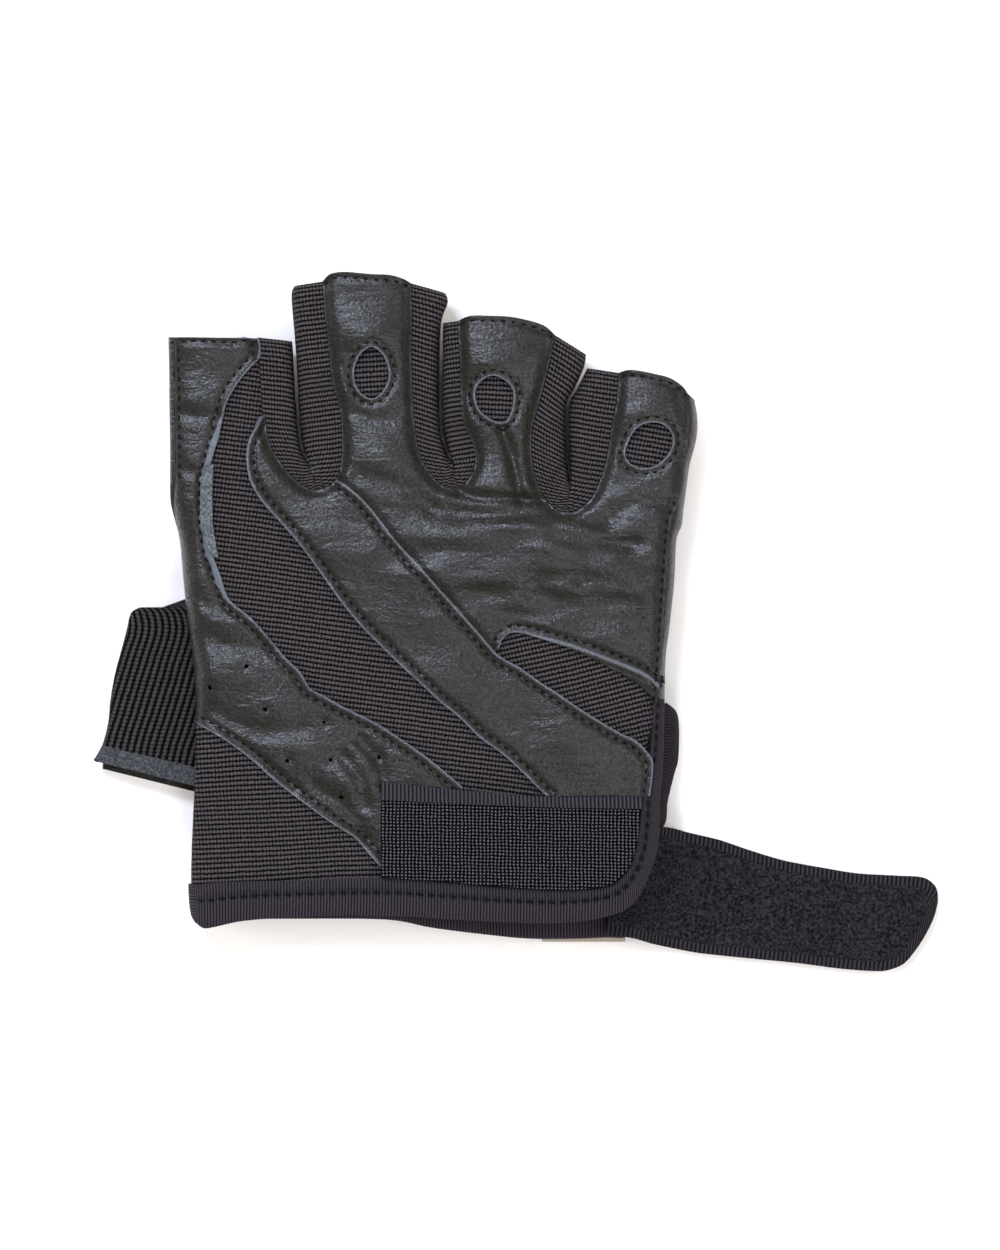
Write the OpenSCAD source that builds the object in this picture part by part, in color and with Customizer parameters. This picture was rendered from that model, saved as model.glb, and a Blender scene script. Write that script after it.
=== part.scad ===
// Right-hand fingerless sailing glove, lying palm down with its wrist strap open.
// +Y points to the fingertips, +X to the little finger, +Z up from the surface it lies on.
// The origin is on the underside of the heel pad, in the middle of the palm.

/* [Shell] */
// Clear height inside the palm and the finger stalls
hollow_h = 9.4; // [8.6:0.1:10]
// Thickness of the leather panels
leather_t = 1.1; // [0.9:0.05:1.2]
// Thickness of the stretch knit on the back
knit_t = 1.05; // [0.9:0.05:1.2]
// Width of the rolled side walls of the hand
side_w = 5; // [4:0.5:6]

/* [Palm pads] */
// Thickness of the foam in the palm pads
foam_t = 1.5; // [1:0.1:2]
// Thickness of the leather that covers the foam
cover_t = 1; // [0.8:0.1:1.2]

/* [Finger stalls] */
// Visible width of a knit gusset between two stalls
gusset_w = 7; // [6:0.25:7.5]
// Thickness of a gusset's knit
gusset_t = 1.1; // [0.9:0.1:1.3]
// Gap between the gussets of neighbouring stalls
crease_gap = 0.8; // [0.6:0.1:1]
// Furthest bend of a stall towards the palm, in degrees
flex_max = 60; // [30:5:60]
// Furthest bend of a stall away from the palm, in degrees
extend_max = 8; // [0:1:8]

/* [Cuff] */
// How far the binding tape stands above and below the cuff's fabric
binding_t = 0.8; // [0.6:0.1:1]
// Height of the hook patch above the knit
hook_t = 1.6; // [1.2:0.1:1.8]
// Width of the grosgrain ribbon above the hook patch
ribbon_w = 3; // [2:0.5:4]

/* [Strap] */
// Thickness of the strap's elastic web
web_t = 1.2; // [1:0.1:1.5]
// Thickness of the loop pile on the strap
pile_t = 1; // [0.8:0.1:1.2]
// Clearance between the closed strap and the hook patch
close_gap = 0.4; // [0.3:0.1:0.8]

/* [Thumb] */
// Half the flat width of the thumb stall
thumb_r = 18.5; // [17:0.5:18.5]
// Length of the thumb stall from its seam's centre to its mouth
thumb_l = 37.5; // [34:0.5:38]
// Clear height inside the flattened thumb stall
thumb_h = 4.8; // [4.5:0.1:5]

/* [Hidden] */
$fn = 48;

touch = 0.05;      // clearance between sewn layers
hinge_gap = 0.3;   // clearance of a stall from its bending line
curve_steps = 3;   // straight pieces in one span of a smooth edge

// Heights of the layers, from the surface up
pad_z = 0;
palm_z = pad_z + cover_t + foam_t;
palm_top = palm_z + leather_t;
knit_z = palm_top + hollow_h;
knit_top = knit_z + knit_t;
leather_z = knit_top + touch;
leather_top = leather_z + leather_t;
wall_h = leather_top - palm_z;
hinge_z = palm_z + 2.5;           // bending axis of the finger stalls
thumb_top = 2 * leather_t + thumb_h;
thenar_z = thumb_top + 0.3;
thenar_top = thenar_z + leather_t;
hook_top = leather_z + hook_t;
strap_top = web_t + pile_t;
strap_axis_z = (strap_top + hook_top + close_gap) / 2;

// Outer edges of the hand, from the cuff to the stalls
LEFT = [[-54, -67.5], [-54, -56], [-54, -45], [-54, -30], [-54, -12], [-55.5, 4.5], [-57, 17],
        [-58.2, 23], [-59, 31], [-59.3, 38.1]];
RIGHT = [[53, -19], [54, -8], [55, 0], [56, 14], [57.4, 21.5], [58.1, 28.4]];
THENAR_FIRST = 2;  // where the raised panel over the thumb begins along LEFT
THENAR_LAST = 7;   // and where it ends

// Lines between the stalls: a point at the crotch and the lean from +Y, in degrees
EDGES = [[[-59.3, 39.5], -4], [[-29, 38], -4], [[4.5, 38], -4], [[31.5, 33], 9], [[59, 35.5], 7]];
// Stalls: centre of the bending line, lean from +Y, length past the bending line
STALLS = [[[-46, 39.5], -4, 24.5], [[-13, 42], -4, 37], [[17.5, 40.5], 2.5, 28.5], [[45, 31.5], 10, 24.5]];
// Knit windows in the stalls' leather: centre, half width, overall length, lean
WINDOWS = [[[-13.2, 56.2], 3.9, 11.6, 0], [[14.4, 50.2], 4.2, 10.4, 15], [[49.6, 40.3], 4.4, 11, 50]];

// Raw edges of the leather panels on the back
THUMB_SIDE_EDGE = [[-38.5, 59], [-42, 55.5], [-46, 49], [-47.5, 43], [-50, 35], [-52, 27], [-50.5, 17],
                   [-47.5, 9], [-43, 2], [-36.5, -5.5], [-29.5, -12.5], [-21.5, -19], [-10, -25],
                   [-2.5, -30.5], [6.5, -37.5]];
THUMB_SIDE_LOW = [[-54, -23], [-41, -32], [-29.5, -41], [-17, -49.5], [-9.5, -58]];
BAND_LOW = [[-37.5, 46], [-41, 42], [-41.5, 36.5], [-39.5, 28.5], [-33, 20.5], [-25, 10], [-13.5, -3.5],
            [-2.5, -15], [11.5, -27], [26, -38.5]];
BAND_HIGH = [[-20.5, 32], [-13.5, 25], [-4.5, 14], [7, 2.5], [18, -9], [32, -18], [44.5, -26], [48, -30.5]];
LEAF_EDGE = [[16, -6.5], [17.5, -3.5], [20.5, -2.7], [32, -5.5], [45.5, -11], [48, -12.5]];
VENTS = [[-50, -15.5], [-42, -10.5], [-37.5, -20.5], [-24, -23.5], [-32.5, -32], [-22.5, -32], [-11.5, -31],
         [-20, -40]];
vent_r = 0.6;

// Cuff: outer edge of the back flap, the binding's inner edge, and the palm side's outer edge
FLAP = [[-54, -68.5], [-43, -68.2], [-29.5, -67.3], [-16, -67], [2, -67.3], [16, -68], [29.5, -68.4],
        [36.5, -68], [41, -66.8], [44.5, -65], [48, -59], [50, -54.5], [51.8, -45.5], [52.5, -34], [52.7, -19.5]];
FLAP_INNER = [[-54, -60], [-43, -60], [-29.5, -59.5], [-16, -58.5], [2, -59.5], [16, -60.7], [29.5, -62],
              [34.5, -61.8], [38.5, -61], [41.5, -59.2], [44.5, -55], [46, -51], [47.8, -43.5], [48.6, -34],
              [49, -19.5]];
PALM_CUFF = [[-54, -67.5], [-29.5, -67.5], [-16, -67.5], [-7, -69], [2, -70.5], [16, -72], [25, -73],
             [34, -73.4], [43, -72.8], [44.5, -68], [45, -62], [46.5, -55], [50, -49], [54, -45.5],
             [54.3, -41], [56.2, -34], [57, -28], [56.5, -22.5], [53.5, -19.5]];
palm_binding_w = 5.5;
flap_left_in = 0.6; // the flap's fabric stops this far inside the binding's outer edge

// Wrist strap, in its own frame: s runs along the strap and t across it
STRAP = [[0.8, 14], [7, 12.8], [15, 11], [24, 9.7], [42, 9.6], [55, 11], [59, 10.3], [61, 7], [59.5, -1.5],
         [56.5, -7], [53, -10.6], [47, -12], [23, -13], [9, -13.5], [0.8, -13]];
strap_at = [54.5, -61];
strap_lean = -8.8;
pile_inset = 0.97;
ROOT = [[-16, 0], [-5.5, 0], [-0.4, -1]];

thumb_at = [-47.3, -1.1];
thumb_lean = -16.6;
thumb_fold_x = -52;
thumb_fold_y = 2.6;
thumb_hole_r = 13.5;
hem_w = 4.7;

HEEL_PAD = [[-20, 6], [0, 8.5], [25, 6.5], [43, 1], [47, -20], [43, -42], [28, -51], [8, -50], [-12, -42],
            [-21, -25], [-23, -8]];
FINGER_PAD = [[-25, 22.5], [-10, 25.5], [14, 25.5], [30, 21.5], [44, 25], [50, 20], [47, 12], [25, 12.5],
              [0, 14.5], [-20, 13.5]];
pad_rim = 3;

// A smooth curve through points, as straight pieces (Catmull-Rom)
function bend(a, b, c, d, t) =
    0.5 * (2 * b + (c - a) * t + (2 * a - 5 * b + 4 * c - d) * t * t + (3 * b - a - 3 * c + d) * t * t * t);
function smooth(p, n = curve_steps) = let (last = len(p) - 1) concat(
    [for (i = [0:last - 1], k = [0:n - 1])
        bend(p[max(i - 1, 0)], p[i], p[i + 1], p[min(i + 2, last)], k / n)],
    [p[last]]);
function smooth_loop(p, n = curve_steps) = let (m = len(p))
    [for (i = [0:m - 1], k = [0:n - 1])
        bend(p[(i + m - 1) % m], p[i], p[(i + 1) % m], p[(i + 2) % m], k / n)];
function reversed(p) = [for (i = [len(p) - 1:-1:0]) p[i]];
function slice(p, a, b) = [for (i = [a:b]) p[i]];
function shifted(p, d) = [for (q = p) q + d];
function middle_of(p) = [for (k = [0, 1]) [for (q = p) 1] * [for (q = p) q[k]] / len(p)];
function shrunk(p, d) = let (c = middle_of(p)) [for (q = p) q - (q - c) / norm(q - c) * d];

function along(lean) = [sin(lean), cos(lean)];
function across(lean) = [cos(lean), -sin(lean)];
half_crease = crease_gap / 2;
function seam(e) = e == 0 || e == 4 ? side_w : half_crease + gusset_w;
// Where edge line e, moved sideways by off, is v past the bending line of stall f
function on_edge(e, off, f, v) = let (
        p = EDGES[e][0] + off * across(EDGES[e][1]),
        g = along(EDGES[e][1]), d = along(STALLS[f][1]))
    p + g * (v - (p - STALLS[f][0]) * d) / (g * d);
// The flat panel of stall f between its two seams, from v0 to v1
function stall_panel(f, v0, v1) = [on_edge(f, seam(f), f, v0), on_edge(f, seam(f), f, v1),
    on_edge(f + 1, -seam(f + 1), f, v1), on_edge(f + 1, -seam(f + 1), f, v0)];
// The seam of a web, a half circle below the crotch of edge e
function web_seam(e) = [for (a = [180:20:360])
    EDGES[e][0] + (seam(e) + 0.15) * (cos(a) * across(EDGES[e][1]) + sin(a) * along(EDGES[e][1]))];
stall_line = concat(
    [on_edge(0, seam(0), 0, -hinge_gap), on_edge(1, -seam(1) - 0.15, 0, -hinge_gap)], web_seam(1),
    [on_edge(1, seam(1) + 0.15, 1, -hinge_gap), on_edge(2, -seam(2) - 0.15, 1, -hinge_gap)], web_seam(2),
    [on_edge(2, seam(2) + 0.15, 2, -hinge_gap), on_edge(3, -seam(3) - 0.15, 2, -hinge_gap)], web_seam(3),
    [on_edge(3, seam(3) + 0.15, 3, -hinge_gap), on_edge(4, -seam(4), 3, -hinge_gap)]);
LEFT_IN = shifted(LEFT, [side_w, 0]);
RIGHT_IN = shifted(RIGHT, [-side_w, 0]);

module plate(outline, z0, z1) translate([0, 0, z0]) linear_extrude(z1 - z0) polygon(outline);

// Folded fabric seen end on: a half ellipse that opens sideways, w deep, h high and t thick
function fold(w, h, t, n = 8) = concat(
    [for (i = [0:n]) let (a = 90 + 180 * i / n) [w + w * cos(a), h / 2 + h / 2 * sin(a)]],
    [for (i = [n:-1:0]) let (a = 90 + 180 * i / n) [w + (w - t) * cos(a), h / 2 + (h / 2 - t) * sin(a)]]);

// A fold carried along the points of a path; side is 1 when it opens to +X and -1 to -X
module fold_along(path, side, z0, h, w, t) {
    f = fold(w, h, t);
    m = len(f);
    n = len(path);
    points = [for (p = path, q = f) [p.x + side * q.x, p.y, z0 + q.y]];
    walls = [for (i = [0:n - 2], j = [0:m - 1]) let (a = i * m + j, b = i * m + (j + 1) % m)
        side > 0 ? [a, b, b + m, a + m] : [a + m, b + m, b, a]];
    ends = [for (j = [0:m / 2 - 2], e = [0, n - 1]) let (a = e * m + j, b = e * m + m - 1 - j)
        (side > 0) == (e > 0) ? [a, a + 1, b - 1, b] : [b, b - 1, a + 1, a]];
    polyhedron(points, concat(walls, ends), convexity = 4);
}

// The space that stall f may fill: past its bending line, cut back for both bends, to length l
module stall_space(f, l) {
    up = 20;
    translate([STALLS[f][0].x, STALLS[f][0].y, 0]) rotate([0, 0, -STALLS[f][1]])
        translate([-40, 0, 0]) rotate([90, 0, 90]) linear_extrude(80)
            polygon([[hinge_gap + (hinge_z + 1) * tan(flex_max), -1], [hinge_gap, hinge_z],
                     [hinge_gap + (up - hinge_z) * tan(extend_max), up], [l, up], [l, -1]]);
}

// The space before the bending line of stall f, for the stretch of gusset that stays on the hand
module hand_space(f) {
    translate([STALLS[f][0].x, STALLS[f][0].y, 0]) rotate([0, 0, -STALLS[f][1]])
        translate([-40, -20 - hinge_gap, -1]) cube([80, 20, 22]);
}

// A straight gusset beside edge line e; side is 1 right of the line and -1 left of it
module gusset_run(e, side, run = 50) {
    translate([EDGES[e][0].x, EDGES[e][0].y, palm_z]) rotate([0, 0, -EDGES[e][1]])
        mirror([side > 0 ? 0 : 1, 0, 0]) translate([half_crease, run, 0]) rotate([90, 0, 0])
            linear_extrude(run) polygon(fold(gusset_w, wall_h, gusset_t));
}

module gusset(e, side, f) {
    color("#3b3a3c") intersection() {
        gusset_run(e, side);
        stall_space(f, STALLS[f][2] - 1.2);
    }
}

// The knit web at the crotch of edge e, with the stretches that run up to both bending lines
module web(e) {
    color("#3b3a3c") {
        translate([EDGES[e][0].x, EDGES[e][0].y, palm_z]) rotate([0, 0, 180 - EDGES[e][1]])
            rotate_extrude(angle = 180) translate([half_crease, 0]) polygon(fold(gusset_w, wall_h, gusset_t));
        intersection() {
            gusset_run(e, -1, 16);
            hand_space(e - 1);
        }
        intersection() {
            gusset_run(e, 1, 16);
            hand_space(e);
        }
    }
}

module window_cut(w) {
    translate([w[0].x, w[0].y, 0]) rotate([0, 0, -w[3]]) {
        reach = w[2] / 2 - w[1];
        for (s = [-1, 1]) translate([0, s * reach, 10]) cylinder(h = 10, r = w[1]);
        translate([-w[1], -reach, 10]) cube([2 * w[1], 2 * reach, 10]);
    }
}

bottom_v = hinge_gap + (hinge_z - palm_z) * tan(flex_max);
top_v = hinge_gap + (leather_top + leather_t - hinge_z) * tan(extend_max);

module stall_leather(f) {
    color("#434341") difference() {
        plate(stall_panel(f, top_v, STALLS[f][2]), leather_z, leather_top);
        window_cut(WINDOWS[f - 1]);
    }
}
module stall_window_knit(f) {
    w = WINDOWS[f - 1];
    color("#3b3a3c") intersection() {
        plate(stall_panel(f, top_v + 0.1, STALLS[f][2] - 1), knit_z, knit_top);
        translate([w[0].x, w[0].y, 0]) rotate([0, 0, -w[3]])
            translate([-w[1] - 1.5, -w[2] / 2 - 1.5, knit_z - 1]) cube([2 * w[1] + 3, w[2] + 3, knit_t + 2]);
    }
}
module stall_palm(f) color("#3d3d3b") plate(stall_panel(f, bottom_v, STALLS[f][2]), palm_z, palm_top);
// A side wall of a stall on its outer side: edge line e, opening towards side
module stall_outer_wall(e, side, f) {
    color("#434341") intersection() {
        translate([EDGES[e][0].x, EDGES[e][0].y, palm_z]) rotate([0, 0, -EDGES[e][1]])
            mirror([side > 0 ? 0 : 1, 0, 0]) translate([0, 45, 0]) rotate([90, 0, 0])
                linear_extrude(50) polygon(fold(side_w, wall_h, leather_t));
        stall_space(f, STALLS[f][2]);
    }
}

// ---- hand ----
module palm_leather() {
    inner = [[LEFT_IN[THENAR_FIRST].x, LEFT_IN[THENAR_FIRST].y], [-28, LEFT_IN[THENAR_FIRST].y],
             [-28, LEFT_IN[THENAR_LAST].y]];
    color("#3d3d3b") plate(concat([LEFT_IN[0] + [0, 1], LEFT_IN[1]], inner,
        slice(LEFT_IN, THENAR_LAST, len(LEFT) - 1), stall_line, reversed(RIGHT_IN),
        reversed(shrink_cuff())), palm_z, palm_top);
}
function shrink_cuff() = [for (i = [1:len(PALM_CUFF) - 1]) let (p = PALM_CUFF[i])
    p + (p.y < -66 ? [0, 1] : [-1, 0]) + (p.x > 42 && p.y < -66 ? [-1, 0] : [0, 0])];

module thenar_leather() {
    low = LEFT_IN[THENAR_FIRST].y;
    high = LEFT_IN[THENAR_LAST].y;
    side = slice(LEFT_IN, THENAR_FIRST, THENAR_LAST);
    color("#434341") difference() {
        plate(concat([[side[0].x, low - leather_t], [-28 + leather_t, low - leather_t],
            [-28 + leather_t, high + leather_t], [side[len(side) - 1].x, high + leather_t]], reversed(side)),
            palm_top + touch, thenar_top);
        plate([[-70, low], [-28, low], [-28, high], [-70, high]], palm_top - 1, thenar_z);
        translate([thumb_at.x, thumb_at.y, thenar_z - 1]) cylinder(h = 4, r = thumb_hole_r);
    }
}

// The knit lining's lower edge runs hidden under the thumb-side leather
knit_split = [[-49, -28], [-29, -38], [-14, -47], [-6.5, -55]];
flap_knit = [for (i = [len(FLAP) - 1:-1:4]) FLAP[i] + [i > 8 ? -1 : 0, i < 10 ? 1 : 0]];
module back_knit() {
    color("#3f3e40") plate(concat(slice(LEFT_IN, 4, len(LEFT) - 1), stall_line, reversed(RIGHT_IN),
        flap_knit, [[-6.5, -66.3]], reversed(knit_split)), knit_z, knit_top);
}
module wrist_knit() {
    color("#3f3e40") plate(concat([[-49, -67.2]], [[-49, -56], [-49, -28 - touch]],
        shifted(slice(knit_split, 1, 3), [-touch, -touch]), [[-6.6, -66.3], [-16, -66], [-29.5, -66.3],
        [-43, -67.2]]), knit_z, knit_top);
}

module below_stall(f) {
    translate([STALLS[f][0].x, STALLS[f][0].y, 0]) rotate([0, 0, -STALLS[f][1]])
        translate([-40, -150 - hinge_gap, 0]) cube([160, 150, 20]);
}
thumb_side_outline = concat(
    [[LEFT_IN[4].x, -26.5]], slice(LEFT_IN, 4, len(LEFT) - 1),
    [[-55.5, 64]], [[-38.3, 64]], smooth(THUMB_SIDE_EDGE), [[6.5, -38], [-11, -38]],
    [[-11, -56]], reversed(smooth(slice(THUMB_SIDE_LOW, 1, 3))));
module thumb_side_leather() {
    color("#454542") difference() {
        intersection() {
            plate(thumb_side_outline, leather_z, leather_top);
            below_stall(0);
        }
        for (p = VENTS) translate([p.x, p.y, leather_z - 1]) cylinder(h = 4, r = vent_r, $fn = 16);
    }
}
// The band's top follows the web beside the index stall
band_top = [for (a = [300:-20:180])
    EDGES[1][0] + (seam(1) + 0.15) * (cos(a) * across(EDGES[1][1]) + sin(a) * along(EDGES[1][1]))];
band_outline = concat(smooth(BAND_LOW), [[47.6, -38.5]], reversed(smooth(BAND_HIGH)), band_top);
module diagonal_band() {
    color("#464643") intersection() {
        plate(band_outline, leather_z, leather_top);
        below_stall(0);
    }
}
module main_back_leather() {
    gap = [0.12, 0.08];
    line = [for (i = [11:len(stall_line) - 1]) stall_line[i]];
    color("#434341") plate(concat(line, reversed(slice(RIGHT_IN, 2, len(RIGHT_IN) - 1)), [[48.6, -12.5]],
        reversed(smooth(LEAF_EDGE)), reversed(shifted(smooth(slice(BAND_HIGH, 0, 3)), gap)),
        [web_seam(1)[6] + [0.3, 0]], slice(web_seam(1), 7, 9)), leather_z, leather_top);
}

module thumb_side_wall() {
    color("#454542") {
        fold_along(slice(LEFT, 0, THENAR_FIRST), 1, palm_z, wall_h, side_w, leather_t);
        fold_along(slice(LEFT, THENAR_FIRST, THENAR_LAST), 1, thenar_z,
            leather_top - thenar_z, side_w, leather_t);
        fold_along(slice(LEFT, THENAR_LAST, len(LEFT) - 1), 1, palm_z, wall_h, side_w, leather_t);
    }
}
module little_side_wall() {
    color("#3d3d3b") fold_along(RIGHT, -1, palm_z, wall_h, side_w, leather_t);
}

module pad_cover(outline) {
    color("#383836") difference() {
        plate(smooth_loop(outline), pad_z, palm_z - touch);
        plate(smooth_loop(shrunk(outline, pad_rim)), cover_t, palm_z);
    }
}
module pad_foam(outline) {
    color("#8a8a88") plate(smooth_loop(shrunk(outline, pad_rim + 0.2)), cover_t + touch, palm_z - 2 * touch);
}

HOOK = [[-11, -41], [-11, -58], [2, -59.4], [16, -60.6], [29.5, -61.9], [34.5, -61.7], [38.5, -60.9],
        [41.5, -59.1], [44.4, -55], [45.9, -51], [47.6, -43.6], [47.7, -41.8]];
module hook_patch() color("#2c2c2f") plate(HOOK, leather_z, hook_top);
module hook_ribbon() {
    color("#353538") plate([[-11, -41 + ribbon_w], [-11, -41 + touch], [47.7, -41.8 + touch],
        [47.7, -41.8 + ribbon_w]], leather_top + touch, leather_top + 0.6);
}

module cuff_binding_back() {
    color("#343237") difference() {
        plate(concat(FLAP, reversed(FLAP_INNER)), knit_z - binding_t, knit_top + binding_t + touch);
        plate(concat([for (i = [0:len(FLAP) - 1]) FLAP[i] + [i > 8 ? -0.9 : 0, i < 10 ? 0.9 : 0]],
            reversed([for (i = [0:len(FLAP) - 1]) FLAP_INNER[i] + [i > 8 ? -2 : 0, i < 10 ? 3 : 0]])),
            knit_z - touch, knit_top + touch);
        plate([[-60, -75], [-48.9, -75], [-48.9, -50], [-60, -50]], knit_z - 2, knit_top + 4);
    }
}
module cuff_binding_palm() {
    n = len(PALM_CUFF);
    inner = [for (p = PALM_CUFF) p + (p.y < -66 ? [0, palm_binding_w] : [-palm_binding_w, 0])
        + (p.x > 42 && p.y < -66 ? [-palm_binding_w, 0] : [0, 0])];
    color("#343237") {
        difference() {
            plate(concat(PALM_CUFF, reversed(inner)), palm_z - binding_t, palm_top + binding_t);
            plate(concat([for (p = PALM_CUFF) p + (p.y < -66 ? [0, 0.9] : [-0.9, 0])
                + (p.x > 42 && p.y < -66 ? [-0.9, 0] : [0, 0])], reversed([for (i = [0:n - 1]) inner[i]
                + (PALM_CUFF[i].y < -66 ? [0, 3] : [-3, 0])])), palm_z - touch, palm_top + touch);
            plate([[-60, -75], [-48.9, -75], [-48.9, -50], [-60, -50]], palm_z - 2, palm_top + 4);
        }
        translate([0, -60, palm_z - binding_t]) rotate([90, 0, 0]) linear_extrude(7.5)
            translate([-54 - binding_t - touch, 0])
                polygon(fold(side_w + binding_t, wall_h + 2 * binding_t, binding_t));
    }
}
module care_label() {
    color("#c9c2b8") translate([25.5, -73.9, palm_z - binding_t - 0.5]) cube([16, 9, 0.4]);
}

module strap_frame() {
    translate([strap_at.x, strap_at.y, 0]) rotate([0, 0, strap_lean]) children();
}
module strap_root() {
    base = palm_top + binding_t + 0.1;
    color("#2b2b2e") strap_frame() translate([0, 11.5, 0]) rotate([90, 0, 0]) linear_extrude(23)
        polygon([[ROOT[0].x, base], [ROOT[1].x, base], [ROOT[2].x, 0], [ROOT[2].x, strap_top],
                 [ROOT[1].x + 1, base + strap_top], [ROOT[0].x, base + strap_top]]);
}

// ---- index stall ----
module index_leather() {
    color("#454542") intersection() {
        plate(thumb_side_outline, leather_z, leather_top);
        plate(stall_panel(0, top_v, STALLS[0][2]), leather_z - 1, leather_top + 1);
    }
}
module index_knit() color("#3f3e40") plate(stall_panel(0, top_v, STALLS[0][2] - 1), knit_z, knit_top);
module index_band_tip() {
    color("#464643") intersection() {
        plate(smooth(slice(BAND_LOW, 0, 4)), leather_z, leather_top);
        plate(stall_panel(0, top_v, STALLS[0][2]), leather_z - 1, leather_top + 1);
    }
}
module index_side_wall() stall_outer_wall(0, 1, 0);

// ---- thumb stall ----
module thumb_shape(r, l, z0, z1) {
    difference() {
        translate([thumb_at.x, thumb_at.y, z0]) rotate([0, 0, thumb_lean]) {
            cylinder(h = z1 - z0, r = r);
            translate([-r, -l, 0]) cube([2 * r, l, z1 - z0]);
        }
        // the stall's upper corner, folded flat beside the hand
        translate([-90, thumb_fold_y + r - thumb_r, z0 - 1]) cube([90 + thumb_fold_x, 30, z1 - z0 + 2]);
    }
}
module thumb_sleeve() {
    difference() {
        thumb_shape(thumb_r, thumb_l, leather_t + touch, thumb_top);
        thumb_shape(thumb_r - leather_t, thumb_l + 5, 0, thumb_top - leather_t);
        translate([thumb_at.x, thumb_at.y, 3]) cylinder(h = 9, r = thumb_hole_r);
    }
}
module hem_cut(l0, l1) {
    translate([thumb_at.x, thumb_at.y, 0]) rotate([0, 0, thumb_lean])
        translate([-30, -l1, -1]) cube([60, l1 - l0, 12]);
}
module thumb_knit() {
    color("#2f2e30") intersection() {
        thumb_sleeve();
        hem_cut(-30, thumb_l - hem_w - touch);
    }
}
module thumb_hem() {
    color("#4a4a4c") intersection() {
        thumb_sleeve();
        hem_cut(thumb_l - hem_w, thumb_l + 1);
    }
}
module thumb_leather() color("#3d3d3b") thumb_shape(thumb_r, thumb_l + 1.8, 0, leather_t);

// ---- strap ----
module strap_web() color("#2b2b2e") strap_frame() plate(STRAP, 0, web_t);
module strap_pile() {
    color("#26252a") strap_frame() translate([(1 - pile_inset) * 30, 0, 0])
        plate([for (p = STRAP) p * pile_inset], web_t, strap_top);
}

palm_leather();
thenar_leather();
back_knit();
wrist_knit();
thumb_side_leather();
diagonal_band();
main_back_leather();
thumb_side_wall();
little_side_wall();
web(1);  // web_index_middle
web(2);  // web_middle_ring
web(3);  // web_ring_little
pad_cover(HEEL_PAD);  // heel_pad_cover
pad_foam(HEEL_PAD);  // heel_pad_foam
pad_cover(FINGER_PAD);  // finger_pad_cover
pad_foam(FINGER_PAD);  // finger_pad_foam
hook_patch();
hook_ribbon();
cuff_binding_back();
cuff_binding_palm();
care_label();
strap_root();
index_leather();
index_knit();
index_band_tip();
stall_palm(0);  // index_palm
index_side_wall();
gusset(1, -1, 0);  // index_gusset
stall_leather(1);  // middle_leather
stall_window_knit(1);  // middle_window_knit
stall_palm(1);  // middle_palm
gusset(1, 1, 1);  // middle_gusset_left
gusset(2, -1, 1);  // middle_gusset_right
stall_leather(2);  // ring_leather
stall_window_knit(2);  // ring_window_knit
stall_palm(2);  // ring_palm
gusset(2, 1, 2);  // ring_gusset_left
gusset(3, -1, 2);  // ring_gusset_right
stall_leather(3);  // little_leather
stall_window_knit(3);  // little_window_knit
stall_palm(3);  // little_palm
gusset(3, 1, 3);  // little_gusset
stall_outer_wall(4, -1, 3);  // little_outer_wall
thumb_knit();
thumb_leather();
thumb_hem();
strap_web();
strap_pile();
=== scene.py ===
import math

import bpy
import numpy as np
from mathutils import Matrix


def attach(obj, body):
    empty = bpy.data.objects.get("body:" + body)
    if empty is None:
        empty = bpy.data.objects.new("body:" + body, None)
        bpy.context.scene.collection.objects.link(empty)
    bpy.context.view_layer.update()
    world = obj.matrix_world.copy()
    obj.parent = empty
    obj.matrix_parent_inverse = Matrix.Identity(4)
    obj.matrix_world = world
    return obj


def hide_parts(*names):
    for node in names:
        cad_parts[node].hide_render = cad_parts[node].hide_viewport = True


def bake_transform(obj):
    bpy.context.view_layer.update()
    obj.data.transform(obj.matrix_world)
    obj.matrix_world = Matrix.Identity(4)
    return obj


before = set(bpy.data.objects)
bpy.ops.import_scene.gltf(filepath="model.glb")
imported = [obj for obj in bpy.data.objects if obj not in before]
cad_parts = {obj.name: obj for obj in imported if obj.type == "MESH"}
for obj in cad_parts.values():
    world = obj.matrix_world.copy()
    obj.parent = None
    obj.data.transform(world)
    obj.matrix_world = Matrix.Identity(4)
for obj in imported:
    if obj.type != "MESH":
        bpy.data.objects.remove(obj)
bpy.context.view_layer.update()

# ---- lengths in millimetres; every mesh is scaled to metres when it is made ----
CELL = 0.55  # size of a panel's cells
HEM_INSET = 1.2  # a finger opening's stitches from its edge
STALL_CUT = {"index": 32, "middle": 42, "ring": 32, "little": 32}  # lengths of the stalls' leather
PALM_Z = 2.5  # outside of the palm leather
MIDDLE_Z = 8.85  # half the height of the flat glove
KNIT_Z = 13.6  # outside of the back knit before the dome is added
LEATHER_LIFT = 1.0  # a leather panel above the knit
LEATHER_T = 1.0
KNIT_T = 0.9
FLANGE = 1.2  # sewn flange along the index stall
ROLL = 5.4  # width of the roll on the thumb side
UNCUT = 9.0  # distance to a raw edge, for leather that has none

# The stalls: middle of the bending line, lean from +Y in degrees, where the bend starts before it
STALLS = {
    "index": ((-46, 39.5), -4, 3.5),
    "middle": ((-13, 42), -4, 4.0),
    "ring": ((17.5, 40.5), 2.5, 4.0),
    "little": ((45, 31.5), 10, 1.8),
}
FLOOR_Z = -0.0005  # in metres, just under the glove

# The strap's hinge and the way the strap runs
STRAP_AT, STRAP_LEAN = np.array([54.5, -61.0]), math.radians(-8.8)
STRAP_WAY = np.array([math.cos(STRAP_LEAN), math.sin(STRAP_LEAN)])

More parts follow.
